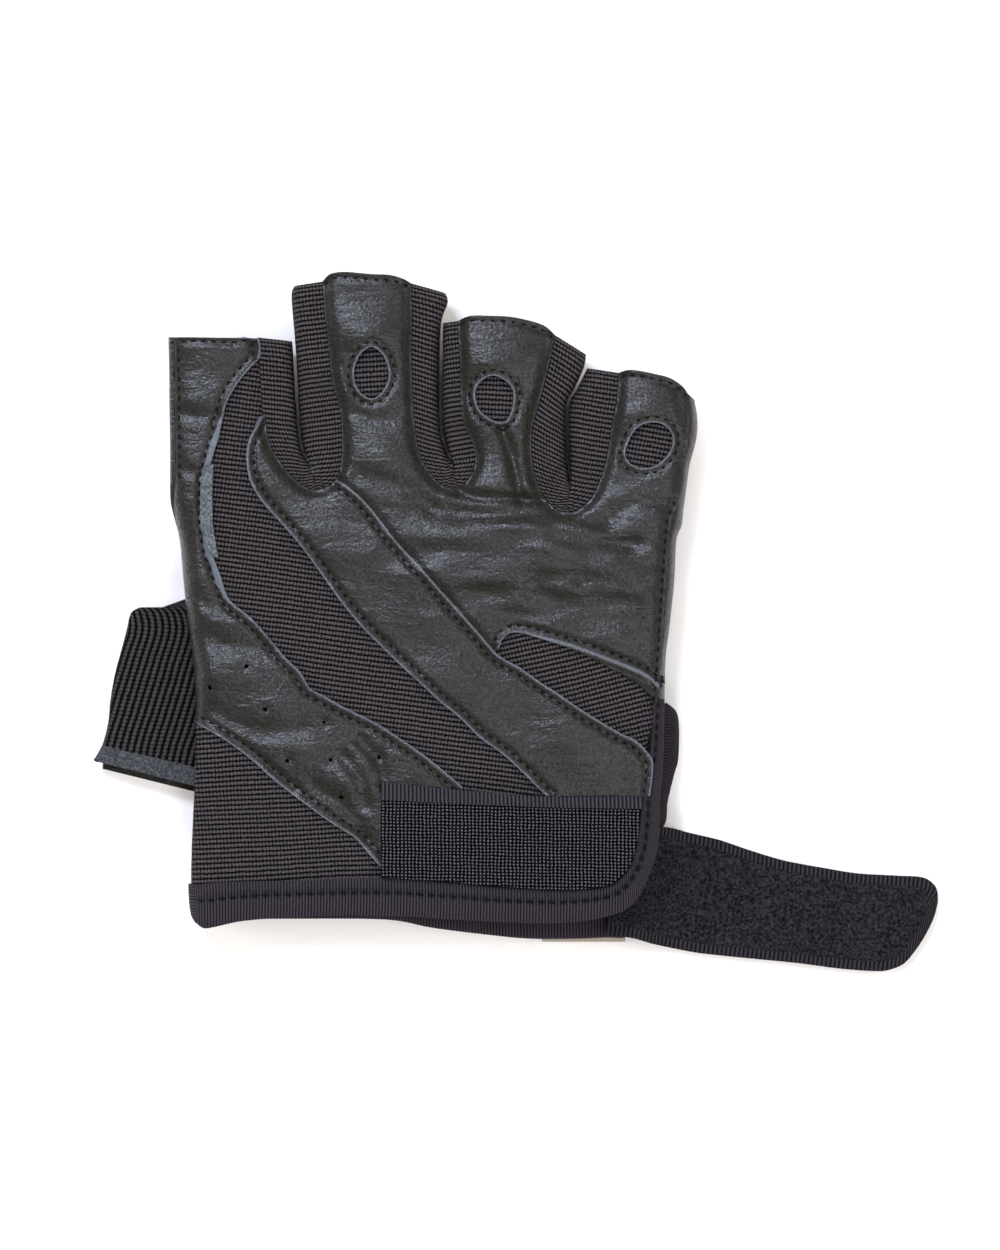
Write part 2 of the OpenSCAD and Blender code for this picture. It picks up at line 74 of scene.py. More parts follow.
LEFT = [(-59.5, 64.3), (-59.3, 54.5), (-59.3, 50), (-59.1, 38.6), (-59.1, 28.4), (-58.6, 25), (-57, 18.2),
        (-56.4, 11.4), (-55.5, 2.3), (-54.5, -4.5), (-53.6, -13.6), (-53.4, -23.4), (-53.6, -36.4),
        (-53.9, -43.2), (-54.3, -52.3), (-54.4, -61), (-53.9, -66.8), (-52.8, -69)]
RIGHT = [(60.3, 50), (60.9, 45.5), (60.7, 41.6), (60, 38.6), (59.1, 35.2), (58.6, 31.8), (57.7, 25),
         (57.3, 21.6), (56.1, 18.2), (55.7, 10.2), (55.2, 4.5), (54.3, -3.4), (53.6, -9.1), (53.4, -19)]
SIDE_SEAM = [(58.6, 51.5), (58.9, 46), (58.6, 40), (57.9, 35.5), (57.5, 31.8), (56.6, 27.3), (54.9, 22.7),
             (54.3, 17), (53.9, 11.4), (53.4, 4), (52.9, -4.5), (52.2, -13.6), (51.6, -19)]

# Outer seams of the three gussets, from one finger opening round the crotch to the next
WEB1 = [(-38.6, 64.2), (-38.2, 59.8), (-37.6, 50), (-37.3, 44.3), (-36.8, 40.9), (-35.2, 37.5), (-31.8, 33),
        (-28.4, 30.2), (-25.5, 29.5), (-22.3, 30.9), (-20.5, 34.1), (-20, 38.6), (-20.2, 45.5), (-20.9, 50),
        (-22.3, 54.5), (-23.2, 63.6), (-23.9, 70), (-24.4, 77)]
WEB2 = [(-4.4, 76.6), (-4.1, 68.2), (-4.3, 61.4), (-3.9, 50), (-3.4, 43.2), (-2.3, 37.5), (-0.5, 34.1),
        (2, 31.1), (4.7, 30), (7.3, 30.5), (9.1, 32.5), (10.2, 35.2), (10.2, 38.6), (9.1, 41.6), (7.5, 45.5),
        (7, 52.3), (6.8, 59.1), (6.4, 68)]
WEB3 = [(28.4, 64.8), (27.3, 59.1), (26.1, 54.5), (25, 50), (23.6, 45.5), (23, 40.9), (23.2, 36.4),
        (24.1, 31.8), (26.1, 27.7), (28.6, 25), (31, 24.4), (33.6, 25), (36.4, 27.3), (38.2, 30.7),
        (39.5, 34.1), (40.5, 38.6), (41.4, 44.3), (42.5, 50), (42.9, 56.2)]
WEB_LOWEST = (8, 8, 10)  # which point of each seam is its lowest
# Fold lines on either side of each crotch, from the opening down to the crotch
FOLDS = {
    "index": [(-31.4, 63.4), (-31, 56), (-30.7, 50), (-30.2, 43.2), (-29.3, 38.2), (-27.8, 36.2)],
    "middle_left": [(-30.9, 76), (-31.6, 73.5), (-30.7, 62.5), (-30, 50), (-29.5, 43.2), (-28.7, 38.4),
                    (-27.4, 36.4)],
    "middle_right": [(3.5, 74.4), (4, 72.3), (2.5, 67.5), (2.1, 58), (2.1, 45), (3.6, 38), (5, 36.8)],
    "ring_left": [(2.9, 67.5), (2.8, 58), (2.8, 45), (4.3, 38.2), (5.4, 36.9)],
    "ring_right": [(35.5, 60.4), (35, 57.5), (32.6, 52.3), (31.1, 49.5), (30.8, 43.2), (31.1, 36.4),
                   (31.7, 32)],
    "little": [(35.7, 57.3), (33.3, 52.3), (31.8, 49.5), (31.5, 43.2), (31.8, 36.4), (32.1, 31.9)],
}

# Raw edges of the leather panels
THUMB_SIDE_EDGE = [(-38.9, 64), (-38.6, 60), (-40.9, 57.3), (-43, 54.8), (-45, 51.8), (-46.4, 48.9),
                   (-47.3, 45.5), (-48, 41.6), (-49.1, 38.2), (-49.8, 35.7), (-50.6, 31.8), (-50.8, 22.7),
                   (-49.9, 16.5), (-47.7, 10.2), (-45.5, 4.5), (-40.2, 0), (-33.4, -8), (-29.5, -11.8),
                   (-27.3, -15.5), (-24.5, -17), (-20.5, -19.3), (-15.9, -21.6), (-11.4, -23.9),
                   (-7.3, -26.6),
                   (-2.3, -30), (2.3, -33.6), (7.5, -38)]
THUMB_SIDE_LOW = [(-53.4, -23.4), (-47.3, -26.8), (-40.9, -31.4), (-35.9, -35.9), (-29.5, -40.9),
                  (-22.7, -45.9), (-17, -49.5), (-13.6, -53.4), (-9.5, -58)]
BAND_LOW = [(-38.2, 46.4), (-39.5, 43.9), (-40.9, 41.6), (-41.6, 38.6), (-41.6, 35.2), (-40.9, 31.8),
            (-39.5, 28.9), (-37.5, 26.1), (-34.1, 22.3), (-29.5, 17), (-25, 10.9), (-20.5, 4.5),
            (-15.9, -1.1),
            (-11.4, -5.7), (-6.8, -10.2), (-2.3, -14.3), (2.3, -18.6), (6.8, -22.3), (11.4, -26.8),
            (15.9, -30), (20.5, -34.1), (23.9, -37.5), (26.5, -40)]
BAND_HIGH = [(-20.7, 31.6), (-17.7, 29.5), (-14.8, 26.8), (-11.4, 22.7), (-8, 18.2), (-2.3, 12), (2.3, 6.8),
             (6.8, 1.8), (11.4, -3.4), (15.5, -8), (20.5, -10.9), (25, -14.1), (29.5, -17), (34.1, -20.2),
             (38.6, -23), (43.2, -25.7), (46.6, -27.3), (48.9, -29.5), (50.7, -32.5), (50, -40)]
LEAF_EDGE = [(15.6, -6.5), (16.2, -4.8), (17.2, -3.5), (19.3, -2.7), (22.7, -3.2), (27.3, -4.5), (33, -6.1),
             (38.6, -8.2), (43.2, -10), (47.7, -11.8), (51.1, -14.1), (52.6, -15.6)]
TIPS = {
    "index": [(-59.5, 64.3), (-52.3, 64.6), (-45, 64.2), (-41.4, 64.8), (-38.9, 64)],
    "middle": [(-24.4, 77), (-22.7, 78.6), (-19.3, 79.1), (-13.6, 78.6), (-9.1, 78.4), (-6, 77.5),
               (-4.4, 76.6)],
    "ring": [(6.4, 68), (9.1, 69.1), (13.6, 69.1), (18.2, 68.9), (22.7, 68), (26.1, 66.8), (28.4, 64.8)],
    "little": [(42.9, 56.2), (45, 56.8), (47.7, 56.6), (51.1, 55.9), (54.5, 55), (57.3, 53.2), (58.6, 51.5)],
}
WINDOWS = {
    "middle": [(-13.3, 62), (-10.8, 60.4), (-9.5, 57.5), (-9.5, 54.4), (-11.2, 51.4), (-13.4, 50.3),
               (-15.8, 51.6), (-17.2, 54.4), (-17.1, 57.6), (-15.7, 60.5)],
    "ring": [(10.2, 51.8), (11.4, 54.1), (14.1, 55.5), (17, 54.5), (18.9, 52.3), (18.9, 48.9), (17.9, 45.9),
             (16.2, 44.8), (13.2, 45.9), (10.9, 48.2)],
    "little": [(44.3, 37.5), (44.9, 40.2), (46.6, 43.2), (48.9, 44.6), (51.8, 44.8), (54.1, 43.6),
               (55.2, 41.6), (54.9, 39), (53.4, 36.8), (51.1, 35), (48.2, 34.5), (45.5, 35.5)],
}
VENTS = [(-41.8, -10.7), (-49.8, -15.2), (-37.3, -20.2), (-24.1, -23.2), (-22.7, -32), (-11.4, -31.1),
         (-32.3, -31.8), (-20, -40)]

# The cuff
FLAP_INNER = [(-53.6, -60.2), (-45.5, -59.5), (-29.5, -59.1), (-11.4, -58.6), (2.3, -59.5), (15.9, -60.7),
              (29.5, -61.4), (38.6, -60.9), (42.7, -59.1), (45.5, -55.7), (47, -51.1), (47.7, -45.5),
              (48.2, -40.9), (48.9, -35.2), (50, -31), (50.6, -24), (51, -18)]
FLAP_OUTER = [(-53.2, -69), (-51.4, -70.1), (-48.5, -69.7), (-43, -68.5), (-34.1, -67.7), (-20.5, -67.1),
              (-6.8, -67.3), (4.5, -68),
              (15.9, -68.6), (27.3, -68.9), (36.4, -68.2), (43.2, -66.4), (46.6, -64.1), (48.9, -60.2),
              (51.1, -54.5), (52, -50), (52.3, -40.9), (52.7, -36.4), (53, -31.8), (53.2, -25), (53.3, -18)]
PALM_CUFF = [(-53.9, -68.4), (-30, -68.2), (-10.2, -68.4), (-1.1, -70), (3.4, -70.7), (12.5, -71.8),
             (21.6, -72.7),
             (30.7, -72.8), (39.8, -72.5), (45.2, -72), (46.4, -66), (47.5, -58), (50, -51), (53.6, -46.5),
             (54.2, -41.5), (55.7, -35.2), (56.6, -31.8), (56.8, -25), (56.2, -21), (53.8, -18.8)]
HOOK_TOP = [(-11.1, -38.6), (6.8, -39.8), (25, -41.2), (47.9, -41.4)]
HOOK_LOW = [(-11.1, -58.4), (2.3, -59.3), (15.9, -60.5), (29.5, -61.2), (38.6, -60.7), (42.7, -58.9),
            (45.5, -55.5), (46.9, -51.1), (47.6, -45.5), (47.9, -41.4)]
RIBBON_TOP = [(-11.1, -36.8), (6.8, -38.6), (25, -40), (48.3, -40.1)]
RIBBON_LOW = [(-11.1, -40.9), (6.8, -41.7), (25, -42.5), (48, -42.9)]

# The wrist strap, from under the flap to its rounded end
STRAP_HIGH = [(43, -47.4), (49, -47), (55.2, -47.5), (59.1, -48.6), (65.9, -50.2), (72.7, -52.5),
              (79.5, -54.6),
              (84.1, -55.6), (90.9, -56.8), (97.7, -57.9), (106.8, -58.4), (112.5, -58.8), (115.2, -60.6),
              (115.9, -62.6)]
STRAP_LOW = [(40, -71.6), (46.8, -72.7), (52.3, -74.3), (60.2, -75.9), (65.9, -76.6), (75, -77.5),
             (84.1, -78.4), (93.2, -79.6), (101.1, -80.2), (104.5, -80), (108, -78.6), (110.4, -76),
             (112.9, -72.3), (115, -68), (115.9, -64.6)]

# The thumb stall; its right side lies under the hand
THUMB_LEFT = [(-66.2, 2.9), (-68.3, 1.6), (-69.3, -2.3), (-70.5, -6.8), (-72, -12.5), (-73, -18.2),
              (-73.4, -22.7),
              (-74.1, -26.1), (-75.2, -29.6)]
THUMB_RIGHT = [(-31.5, 3.0), (-30, 0), (-29.6, -5), (-31.5, -12), (-34, -21), (-37, -31), (-38.8, -38)]


def along(lean):
    """Unit vector that leans from +Y towards +X by lean degrees."""
    return np.array([math.sin(math.radians(lean)), math.cos(math.radians(lean))])


def past(finger, points):
    """How far points lie past the finger's bending line, along the finger."""
    centre, lean, _ = STALLS[finger]
    return (np.asarray(points, float) - centre) @ along(lean)


def even(points, n):
    """n points at equal steps along a dense line."""
    p = np.asarray(points, float)
    run = np.concatenate([[0], np.cumsum(np.linalg.norm(np.diff(p, axis=0), axis=1))])
    at = np.linspace(0, run[-1], n)
    return np.stack([np.interp(at, run, p[:, k]) for k in range(p.shape[1])], axis=1)


def smooth(points, closed=False, steps=8):
    """Catmull-Rom curve through points a, b, c, d:
    0.5 (2b + (c - a) t + (2a - 5b + 4c - d) t^2 + (3b - a - 3c + d) t^3)."""
    p = np.asarray(points, float)
    p = np.concatenate([p[-1:], p, p[:2]]) if closed else np.concatenate([p[:1], p, p[-1:]])
    a, b, c, d = (p[k:len(p) - 3 + k, None, :] for k in range(4))
    t = (np.arange(steps) / steps)[None, :, None]
    q = 0.5 * (2 * b + (c - a) * t + (2 * a - 5 * b + 4 * c - d) * t**2 + (3 * b - a - 3 * c + d) * t**3)
    q = q.reshape(-1, p.shape[1])
    return q if closed else np.concatenate([q, p[-2:-1]])


def length_of(line):
    return float(np.linalg.norm(np.diff(np.asarray(line, float), axis=0), axis=1).sum())


def dist(points, line):
    """Distance from each point to a line of straight pieces."""
    p = np.asarray(points, float)[..., :2]
    flat = p.reshape(-1, 2)
    line = np.asarray(line, float)
    best = np.full(len(flat), 1e9)
    for a, b in zip(line[:-1], line[1:]):
        ab = b - a
        t = np.clip((flat - a) @ ab / max(ab @ ab, 1e-12), 0, 1)
        best = np.minimum(best, ((flat - a - t[:, None] * ab) ** 2).sum(axis=1))
    return np.sqrt(best).reshape(p.shape[:-1])


def coarse(points, step=2.5, closed=False):
    """A smooth line as straight pieces of about step, for measuring distances."""
    line = smooth(points, closed)
    if closed:
        line = np.concatenate([line, line[:1]])
    return even(line, max(3, int(length_of(line) / step)))


def ease(x, low, high):
    """0 below low, 1 above high, and 3t^2 - 2t^3 between."""
    t = np.clip((np.asarray(x, float) - low) / (high - low), 0, 1)
    return t * t * (3 - 2 * t)


def hump(d, width):
    return np.exp(-((d / width) ** 2))


def ripple(xy, size, seed, waves=6):
    """Smooth noise from -1 to 1: a sum of sines with seeded directions and phases, size across."""
    rng = np.random.default_rng(seed)
    total = 0
    for _ in range(waves):
        turn, phase, stretch = rng.uniform(0, math.pi), rng.uniform(0, 2 * math.pi), rng.uniform(0.7, 1.5)
        total = total + np.sin(
            (xy[..., 0] * math.cos(turn) + xy[..., 1] * math.sin(turn)) * math.pi / size * stretch + phase
        )
    return total / waves


LEFT_LINE = smooth(LEFT)
SEAMS = [coarse(w, 2) for w in (WEB1, WEB2, WEB3)]
SIDE_LINE = coarse(SIDE_SEAM)

# Swells of the slack leather: middle, half widths across and along, height
SWELLS = [
    (16, 13, 27, 6.5, 1.7), (-14, 65.5, 8, 6.5, 1.2), (15, 58.5, 9, 6, 1.1), (46, 5, 11, 4.5, 0.9),
    (43, -4.5, 8, 3, 0.6), (50, 47, 7, 5, 0.8), (-46, -12, 8, 5, 0.8), (-36, -21, 8, 4.5, 0.8),
    (-50, 49, 6, 7, 0.6), (10, 29, 9, 4, 0.6), (-9, 36, 8, 5, 0.6), (-18, -37, 5, 4, 0.9),
    (6, -14, 9, 6, 0.5), (34, -27, 8, 5, 0.6), (-22, 16, 7, 6, 0.5), (30, 21, 12, 4, 0.7),
    (18, 20.5, 24, 3, 0.75), (30, 11.5, 18, 2.6, 0.45),
]
# Creases that stay in the leather: points, depth, half width
CREASES = [
    ([(16.4, 43.2), (18.2, 38.6), (19.5, 33), (20.5, 28)], 0.7, 1.3),
    ([(6.8, 29.1), (11, 27.8), (15.9, 27.7), (25, 27)], 0.7, 1.4),
    ([(-17, 47), (-12, 45.5), (-6, 46.5)], 0.35, 1.8),
    ([(-16, 33), (-8, 31), (0, 26.5)], 0.4, 2.2),
    ([(-8, 14.5), (5, 14), (20, 12), (34, 10)], 0.55, 3.0),
    ([(-4, 25.5), (8, 23.5), (24, 24), (40, 21.5)], 0.3, 2.2),
    ([(28, 20), (36, 17.5), (46, 17)], 0.4, 2.0),
    ([(24, 6), (34, 3), (46, 4)], 0.45, 2.6),
    ([(41.5, 24), (47, 27), (54, 27)], 0.4, 1.8),
    ([(-57, 47), (-51, 46), (-48.5, 46.5)], 0.4, 1.6),
    ([(-57, 35), (-54, 33.5), (-51.5, 33.5)], 0.3, 1.6),
    ([(-54, 6), (-50, 3), (-46, 3.5)], 0.35, 2.0),
    ([(-52, -3), (-45, -6), (-37, -6.5)], 0.4, 2.4),
    ([(-49, -21), (-40, -25), (-30, -24.5)], 0.45, 2.6),
    ([(-20, -31), (-16, -36), (-15, -42)], 0.5, 1.8),
    ([(-16, -27), (-11, -33), (-10.5, -38)], 0.4, 1.5),
    ([(-26, -38), (-19, -43), (-14, -50)], 0.5, 1.8),
    ([(-45, -28), (-37, -33), (-31, -38.5)], 0.3, 1.6),
]


def seam_height(y):
    """Height of the seam on the thumb side: half way up, and higher along the flat index stall."""
    return MIDDLE_Z + 2.9 * ease(y, 16, 36)


def rolled(xy, z, edge):
    """A height z away from the thumb side and edge on it: edge + (z - edge) sqrt(1 - (1 - r)^2), where r
    grows from 0 to 1 over the roll, which starts behind a flat flange on the index stall."""
    flange = FLANGE * ease(xy[..., 1], 20, 34)
    r = np.clip((dist(xy, LEFT_LINE) - flange) / ROLL, 0, 1)
    return edge + (z - edge) * np.sqrt(np.clip(1 - (1 - r) ** 2, 0, 1))


def back(xy, lift=0.0, sewn=(), creased=True):
    """Height of the back at xy: a low dome, rolled down to the middle at the thumb side and at every
    gusset seam, with the creases, a groove where each sewn edge is stitched, and a slow unevenness."""
    x, y = xy[..., 0], xy[..., 1]
    z = KNIT_Z + lift + 0.9 * (1 - (x / 60) ** 2) - 0.25 * ease(y, 20, 60)
    z = z + 0.5 * ripple(xy, 19, 3)
    if lift >= LEATHER_LIFT:
        z = z + 0.3 * ripple(xy, 7, 8)
        for mx, my, rx, ry, height in SWELLS:
            z = z + height * np.exp(-(((x - mx) / rx) ** 2) - ((y - my) / ry) ** 2)
        pulled = ease(x, -8, 8) * ease(y, -6, 4) * ease(-y, -34, -26)
        z = z + (0.1 + 0.5 * pulled) * ripple(xy * [0.3, 1.0], 3.2, 21, 8)
    for seam in SEAMS:
        d = dist(xy, seam)
        z = z - 1.3 * hump(d, 1.5) - 0.5 * hump(d, 5)
    z = z - 1.2 * hump(dist(xy, SIDE_LINE), 2.0)
    if creased:
        for line, depth, width in CREASES:
            z = z - depth * hump(dist(xy, coarse(line)), width) * (0.3 + 1.2 * ease(lift, 0, 1))
        for vent in VENTS:
            z = z - 0.35 * hump(np.hypot(x - vent[0], y - vent[1]), 1.3)
    for edge, inset in sewn:
        d = dist(xy, edge)
        z = z - 0.4 * hump(d - inset, 0.75) - 0.12 * hump(d, 0.5)
    return rolled(xy, z, seam_height(y) + 0.7 + 0.3 * lift)


def palm(xy, lift=0.0):
    """Height of the palm's outside at xy: flat, rolled up to the middle at the thumb side, with the thenar
    panel raised over the thumb stall."""
    x, y = xy[..., 0], xy[..., 1]
    z = PALM_Z - lift + 0.15 * ripple(xy, 15, 5)
    z = z + 5.5 * ease(-x, 27, 31) * ease(y, -48, -44) * ease(-y, -25, -20)
    return rolled(xy, z, seam_height(y) - 0.5)


# ---- grids ----
def between(a, b, n=None, m=None):
    """Grid from line a to line b: rows are straight, so P(i, j) = (1 - j) a(i) + j b(i)."""
    a, b = np.asarray(a, float), np.asarray(b, float)
    n = n or max(4, int(max(length_of(a), length_of(b)) / CELL))
    a, b = even(a, n), even(b, n)
    m = m or max(4, int(np.linalg.norm(a - b, axis=1).max() / CELL))
    t = np.linspace(0, 1, m)[None, :, None]
    return a[:, None] * (1 - t) + b[:, None] * t


def around(hole, outline, m=None):
    """Grid from a hole's edge to a closed outline: each point of the outline is joined to the point of
    the hole that lies at the same angle about the hole's middle."""
    hole, outline = np.asarray(hole, float), np.asarray(outline, float)
    middle = hole.mean(axis=0)
    angle = np.arctan2(*(hole - middle).T[::-1])
    order = np.argsort(angle)
    reach = np.interp(
        np.arctan2(*(outline - middle).T[::-1]), angle[order],
        np.hypot(*(hole - middle).T)[order], period=2 * math.pi,
    )
    ray = outline - middle
    inner = middle + ray / np.linalg.norm(ray, axis=1)[:, None] * reach[:, None]
    m = m or max(6, int(np.median(np.linalg.norm(outline - inner, axis=1)) / CELL))
    t = np.linspace(0, 1, m)[:, None, None] ** 0.9
    return inner[None] * (1 - t) + outline[None] * t


def raised(xy, height, side=1, **words):
    """Grid and unit normals of a surface z = height(xy), facing up for side 1 and down for -1."""
    step = 0.05
    z = height(xy, **words)
    zx = (height(xy + [step, 0], **words) - z) / step
    zy = (height(xy + [0, step], **words) - z) / step
    n = np.stack([-zx, -zy, np.ones_like(z)], axis=-1)
    return np.concatenate([xy, z[..., None]], axis=-1), side * n / np.linalg.norm(n, axis=-1, keepdims=True)


def facing(p, away, ring=False):
    """Unit normals of a grid from its own slopes, on the side that away points to."""
    du = np.gradient(p, axis=0)
    dv = (np.roll(p, -1, axis=1) - np.roll(p, 1, axis=1)) / 2 if ring else np.gradient(p, axis=1)
    n = np.cross(du, dv)
    n /= np.maximum(np.linalg.norm(n, axis=-1, keepdims=True), 1e-9)
    return n if (n * away).sum() > 0 else -n


def folded(inner, outer, top, bottom, rows=30, tuck=0.0, flat=1.0, puff=0.0):
    """Grid of a fold seen end on as a half ellipse: xy = inner + (outer - inner) sin(a)^flat and z runs
    from top to bottom as cos(a), with puff (sin 2a - 0.4 sin 4a) added, for a from 0 to pi."""
    inner, outer = np.asarray(inner, float), np.asarray(outer, float)
    reach = outer - inner
    inner = inner - tuck * reach / np.maximum(np.linalg.norm(reach, axis=1, keepdims=True), 1e-9)
    a = np.linspace(0, math.pi, rows)[None, :, None]
    xy = inner[:, None] + (outer - inner)[:, None] * np.sin(a) ** flat
    top, bottom = (np.broadcast_to(v, len(inner)).astype(float)[:, None, None] for v in (top, bottom))
    z = (top + bottom) / 2 + (top - bottom) / 2 * np.cos(a) + puff * (np.sin(2 * a) - 0.4 * np.sin(4 * a))
    p = np.concatenate([xy, np.broadcast_to(z, xy.shape[:2] + (1,))], axis=-1)
    away = np.zeros_like(p)
    away[..., :2] = (outer - inner)[:, None]
    return p, facing(p, away)


def run_of(p, axis):
    """Length walked along a grid's rows or columns, in mm."""
    step = np.linalg.norm(np.diff(p, axis=axis), axis=-1)
    pad = [(0, 0), (0, 0)]
    pad[axis] = (1, 0)
    return np.pad(np.cumsum(step, axis=axis), pad)


def walked(p):
    """Lengths walked along both ways of a grid, for a weave that follows the piece."""
    return run_of(p, 0), run_of(p, 1)


def hung(top, low_edge, ends, spread, rows, right, left=None):
    """Grid hung from a winding top edge to a lower one. The lower x is 0.6 top x + 0.4 (an even spread),
    kept rising and stretched to ends; the first and last columns are drawn on to the side lines with a
    pull of run^6, where run goes from 0 to 1 towards that side."""
    run = np.linspace(0, 1, len(top))
    low_x = np.maximum.accumulate(0.6 * top[:, 0] + 0.4 * (spread[0] + run * spread[1]) + 0.01 * run)
    low_x = ends[0] + (low_x - low_x[0]) * (ends[1] - ends[0]) / (low_x[-1] - low_x[0])
    bottom = np.stack([low_x, np.interp(low_x, *low_edge.T)], axis=1)
    bottom[:, 1] = np.minimum(bottom[:, 1], top[:, 1] - 0.4)
    t = np.linspace(0, 1, rows)[None, :, None]
    p = top[:, None] * (1 - t) + bottom[:, None] * t
    p = p + (run**6)[:, None, None] * (even(right, rows)[None] - p[-1:])
    if left is not None:
        p = p + ((1 - run) ** 6)[:, None, None] * (even(left, rows)[None] - p[:1])
    return p


# ---- materials ----
def srgb(code):
    """An sRGB hex colour as the linear colour that shaders use."""
    c = np.array([int(code[k:k + 2], 16) for k in (1, 3, 5)]) / 255
    c = np.where(c <= 0.04045, c / 12.92, ((c + 0.055) / 1.055) ** 2.4)
    return (*(float(v) for v in c), 1.0)


def add(tree, kind, settings=None, inputs=None):
    """A shader node of one kind with its settings, its plain inputs and its links."""
    node = tree.nodes.new(f"ShaderNode{kind}")
    for key, value in (settings or {}).items():
        setattr(node, key, value)
    for key, value in (inputs or {}).items():
        if isinstance(value, bpy.types.NodeSocket):
            tree.links.new(value, node.inputs[key])
        else:
            node.inputs[key].default_value = value
    return node


def stops(node, *pairs):
    """Sets a colour ramp's stops: place and hex colour."""
    ramp = node.color_ramp
    while len(ramp.elements) < len(pairs):
        ramp.elements.new(0.5)
    for element, (place, code) in zip(ramp.elements, pairs):
        element.position = place
        element.color = srgb(code)
    return node.outputs["Color"]


def material(name):
    """A material with an empty tree of nodes."""
    made = bpy.data.materials.new(name)
    made.use_nodes = True
    made.node_tree.nodes.clear()
    return made, made.node_tree


def shade(tree, looks):
    """Ends a tree: one surface shader with its looks, and the output."""
    shader = add(tree, "BsdfPrincipled", None, looks)
    add(tree, "OutputMaterial", None, {"Surface": shader.outputs["BSDF"]})


def leather(name, dark, light, rough=0.5, gloss=0.72, edge="#585d61"):
    """Goat leather dyed black: a pebbled grain 0.7 mm across that breaks the shine into soft patches,
    creases 2 mm apart, and a pale grey cut edge where the undyed core shows."""
    made, tree = material(name)
    place = add(tree, "TexCoord").outputs["Object"]
    patch = add(tree, "TexNoise", None, {"Vector": place, "Scale": 60.0, "Detail": 2.0}).outputs["Fac"]
    grain = add(tree, "TexNoise", None, {
        "Vector": place, "Scale": 1500.0, "Detail": 4.0, "Roughness": 0.6,
    }).outputs["Fac"]
    long_way = add(tree, "Mapping", None, {"Vector": place, "Scale": (0.35, 1.0, 1.0)})
    crease = add(tree, "TexNoise", None, {
        "Vector": long_way.outputs["Vector"], "Scale": 520.0, "Detail": 3.0, "Distortion": 0.5,
    }).outputs["Fac"]
    tone = stops(add(tree, "ValToRGB", None, {"Fac": grain}), (0.32, dark), (0.68, light))
    cut = add(tree, "Attribute", {"attribute_name": "cut"}).outputs["Fac"]
    worn = add(tree, "Math", {"operation": "MULTIPLY_ADD"}, {0: grain, 1: 1.1, 2: cut}).outputs[0]
    pale = add(tree, "MapRange", {"interpolation_type": "SMOOTHSTEP"}, {
        "Value": worn, "From Min": 0.62, "From Max": 1.1, "To Min": 1.0, "To Max": 0.0,
    }).outputs["Result"]
    colour = add(tree, "Mix", {"data_type": "RGBA"}, {"Factor": pale, 6: tone, 7: srgb(edge)})
    worn_smooth = add(tree, "MapRange", None, {
        "Value": patch, "From Min": 0.3, "From Max": 0.7, "To Min": rough - 0.05, "To Max": rough + 0.08,
    })
    relief = add(tree, "Math", {"operation": "MULTIPLY_ADD"}, {0: crease, 1: 1.6, 2: grain}).outputs[0]
    under, over = (
        add(tree, "Bump", None, {"Strength": strong, "Distance": 0.0006, "Height": relief}).outputs["Normal"]
        for strong in (0.55, 0.3)
    )
    glaze = add(tree, "MapRange", None, {
        "Value": grain, "From Min": 0.35, "From Max": 0.65, "To Min": gloss * 0.5, "To Max": gloss * 1.5,
    })
    shade(tree, {
        "Base Color": colour.outputs[2], "Roughness": worn_smooth.outputs["Result"],
        "Normal": under, "Coat Normal": over, "IOR": 1.5, "Specular IOR Level": 0.3,
        "Coat Weight": glaze.outputs["Result"], "Coat Roughness": 0.25, "Coat Tint": srgb("#f0f0ff"),
    })
    return made


def cloth(name, dark, light, across, lengthways, depth=0.6, shine=0.1, wander=0.6, cells=0.5, stray=0.6,
          low=0.3):
    """Knit or woven textile: ridges of yarn across the piece, broken into loops along it, both with
    their spacing in mm; it scatters light and hardly shines. Its colour follows the bump's relief:
    painted shade darkens the gaps between the yarns and painted light brightens the ridge tops."""
    made, tree = material(name)
    weave = add(tree, "Attribute", {"attribute_name": "weave"}).outputs["Vector"]
    rows, columns = (
        add(tree, "TexWave", {"wave_type": "BANDS", "bands_direction": way, "wave_profile": "SIN"}, {
            "Vector": weave, "Scale": math.pi / 10 / spacing, "Distortion": wander, "Detail": 1.0,
            "Detail Scale": 0.8,
        }).outputs["Fac"]
        for way, spacing in (("X", across), ("Y", lengthways))
    )
    loops = add(tree, "Math", {"operation": "MULTIPLY_ADD"}, {0: columns, 1: cells, 2: 1 - cells})
    yarn = add(tree, "Math", {"operation": "MULTIPLY"}, {0: rows, 1: loops.outputs[0]}).outputs[0]
    fuzz = add(tree, "TexNoise", None, {"Vector": weave, "Scale": 2.2, "Detail": 2.0}).outputs["Fac"]
    relief = add(tree, "Math", {"operation": "MULTIPLY_ADD"}, {0: fuzz, 1: stray, 2: yarn}).outputs[0]
    bump = add(tree, "Bump", None, {"Strength": depth, "Distance": 0.0004, "Height": relief})
    # Base colour from the relief: painted shade in the gaps, painted light on the yarn tops
    shade(tree, {
        "Base Color": stops(add(tree, "ValToRGB", None, {"Fac": relief}), (low, dark), (1.0, light)),
        "Normal": bump.outputs["Normal"], "Roughness": 0.8, "Specular IOR Level": shine,
    })
    return made


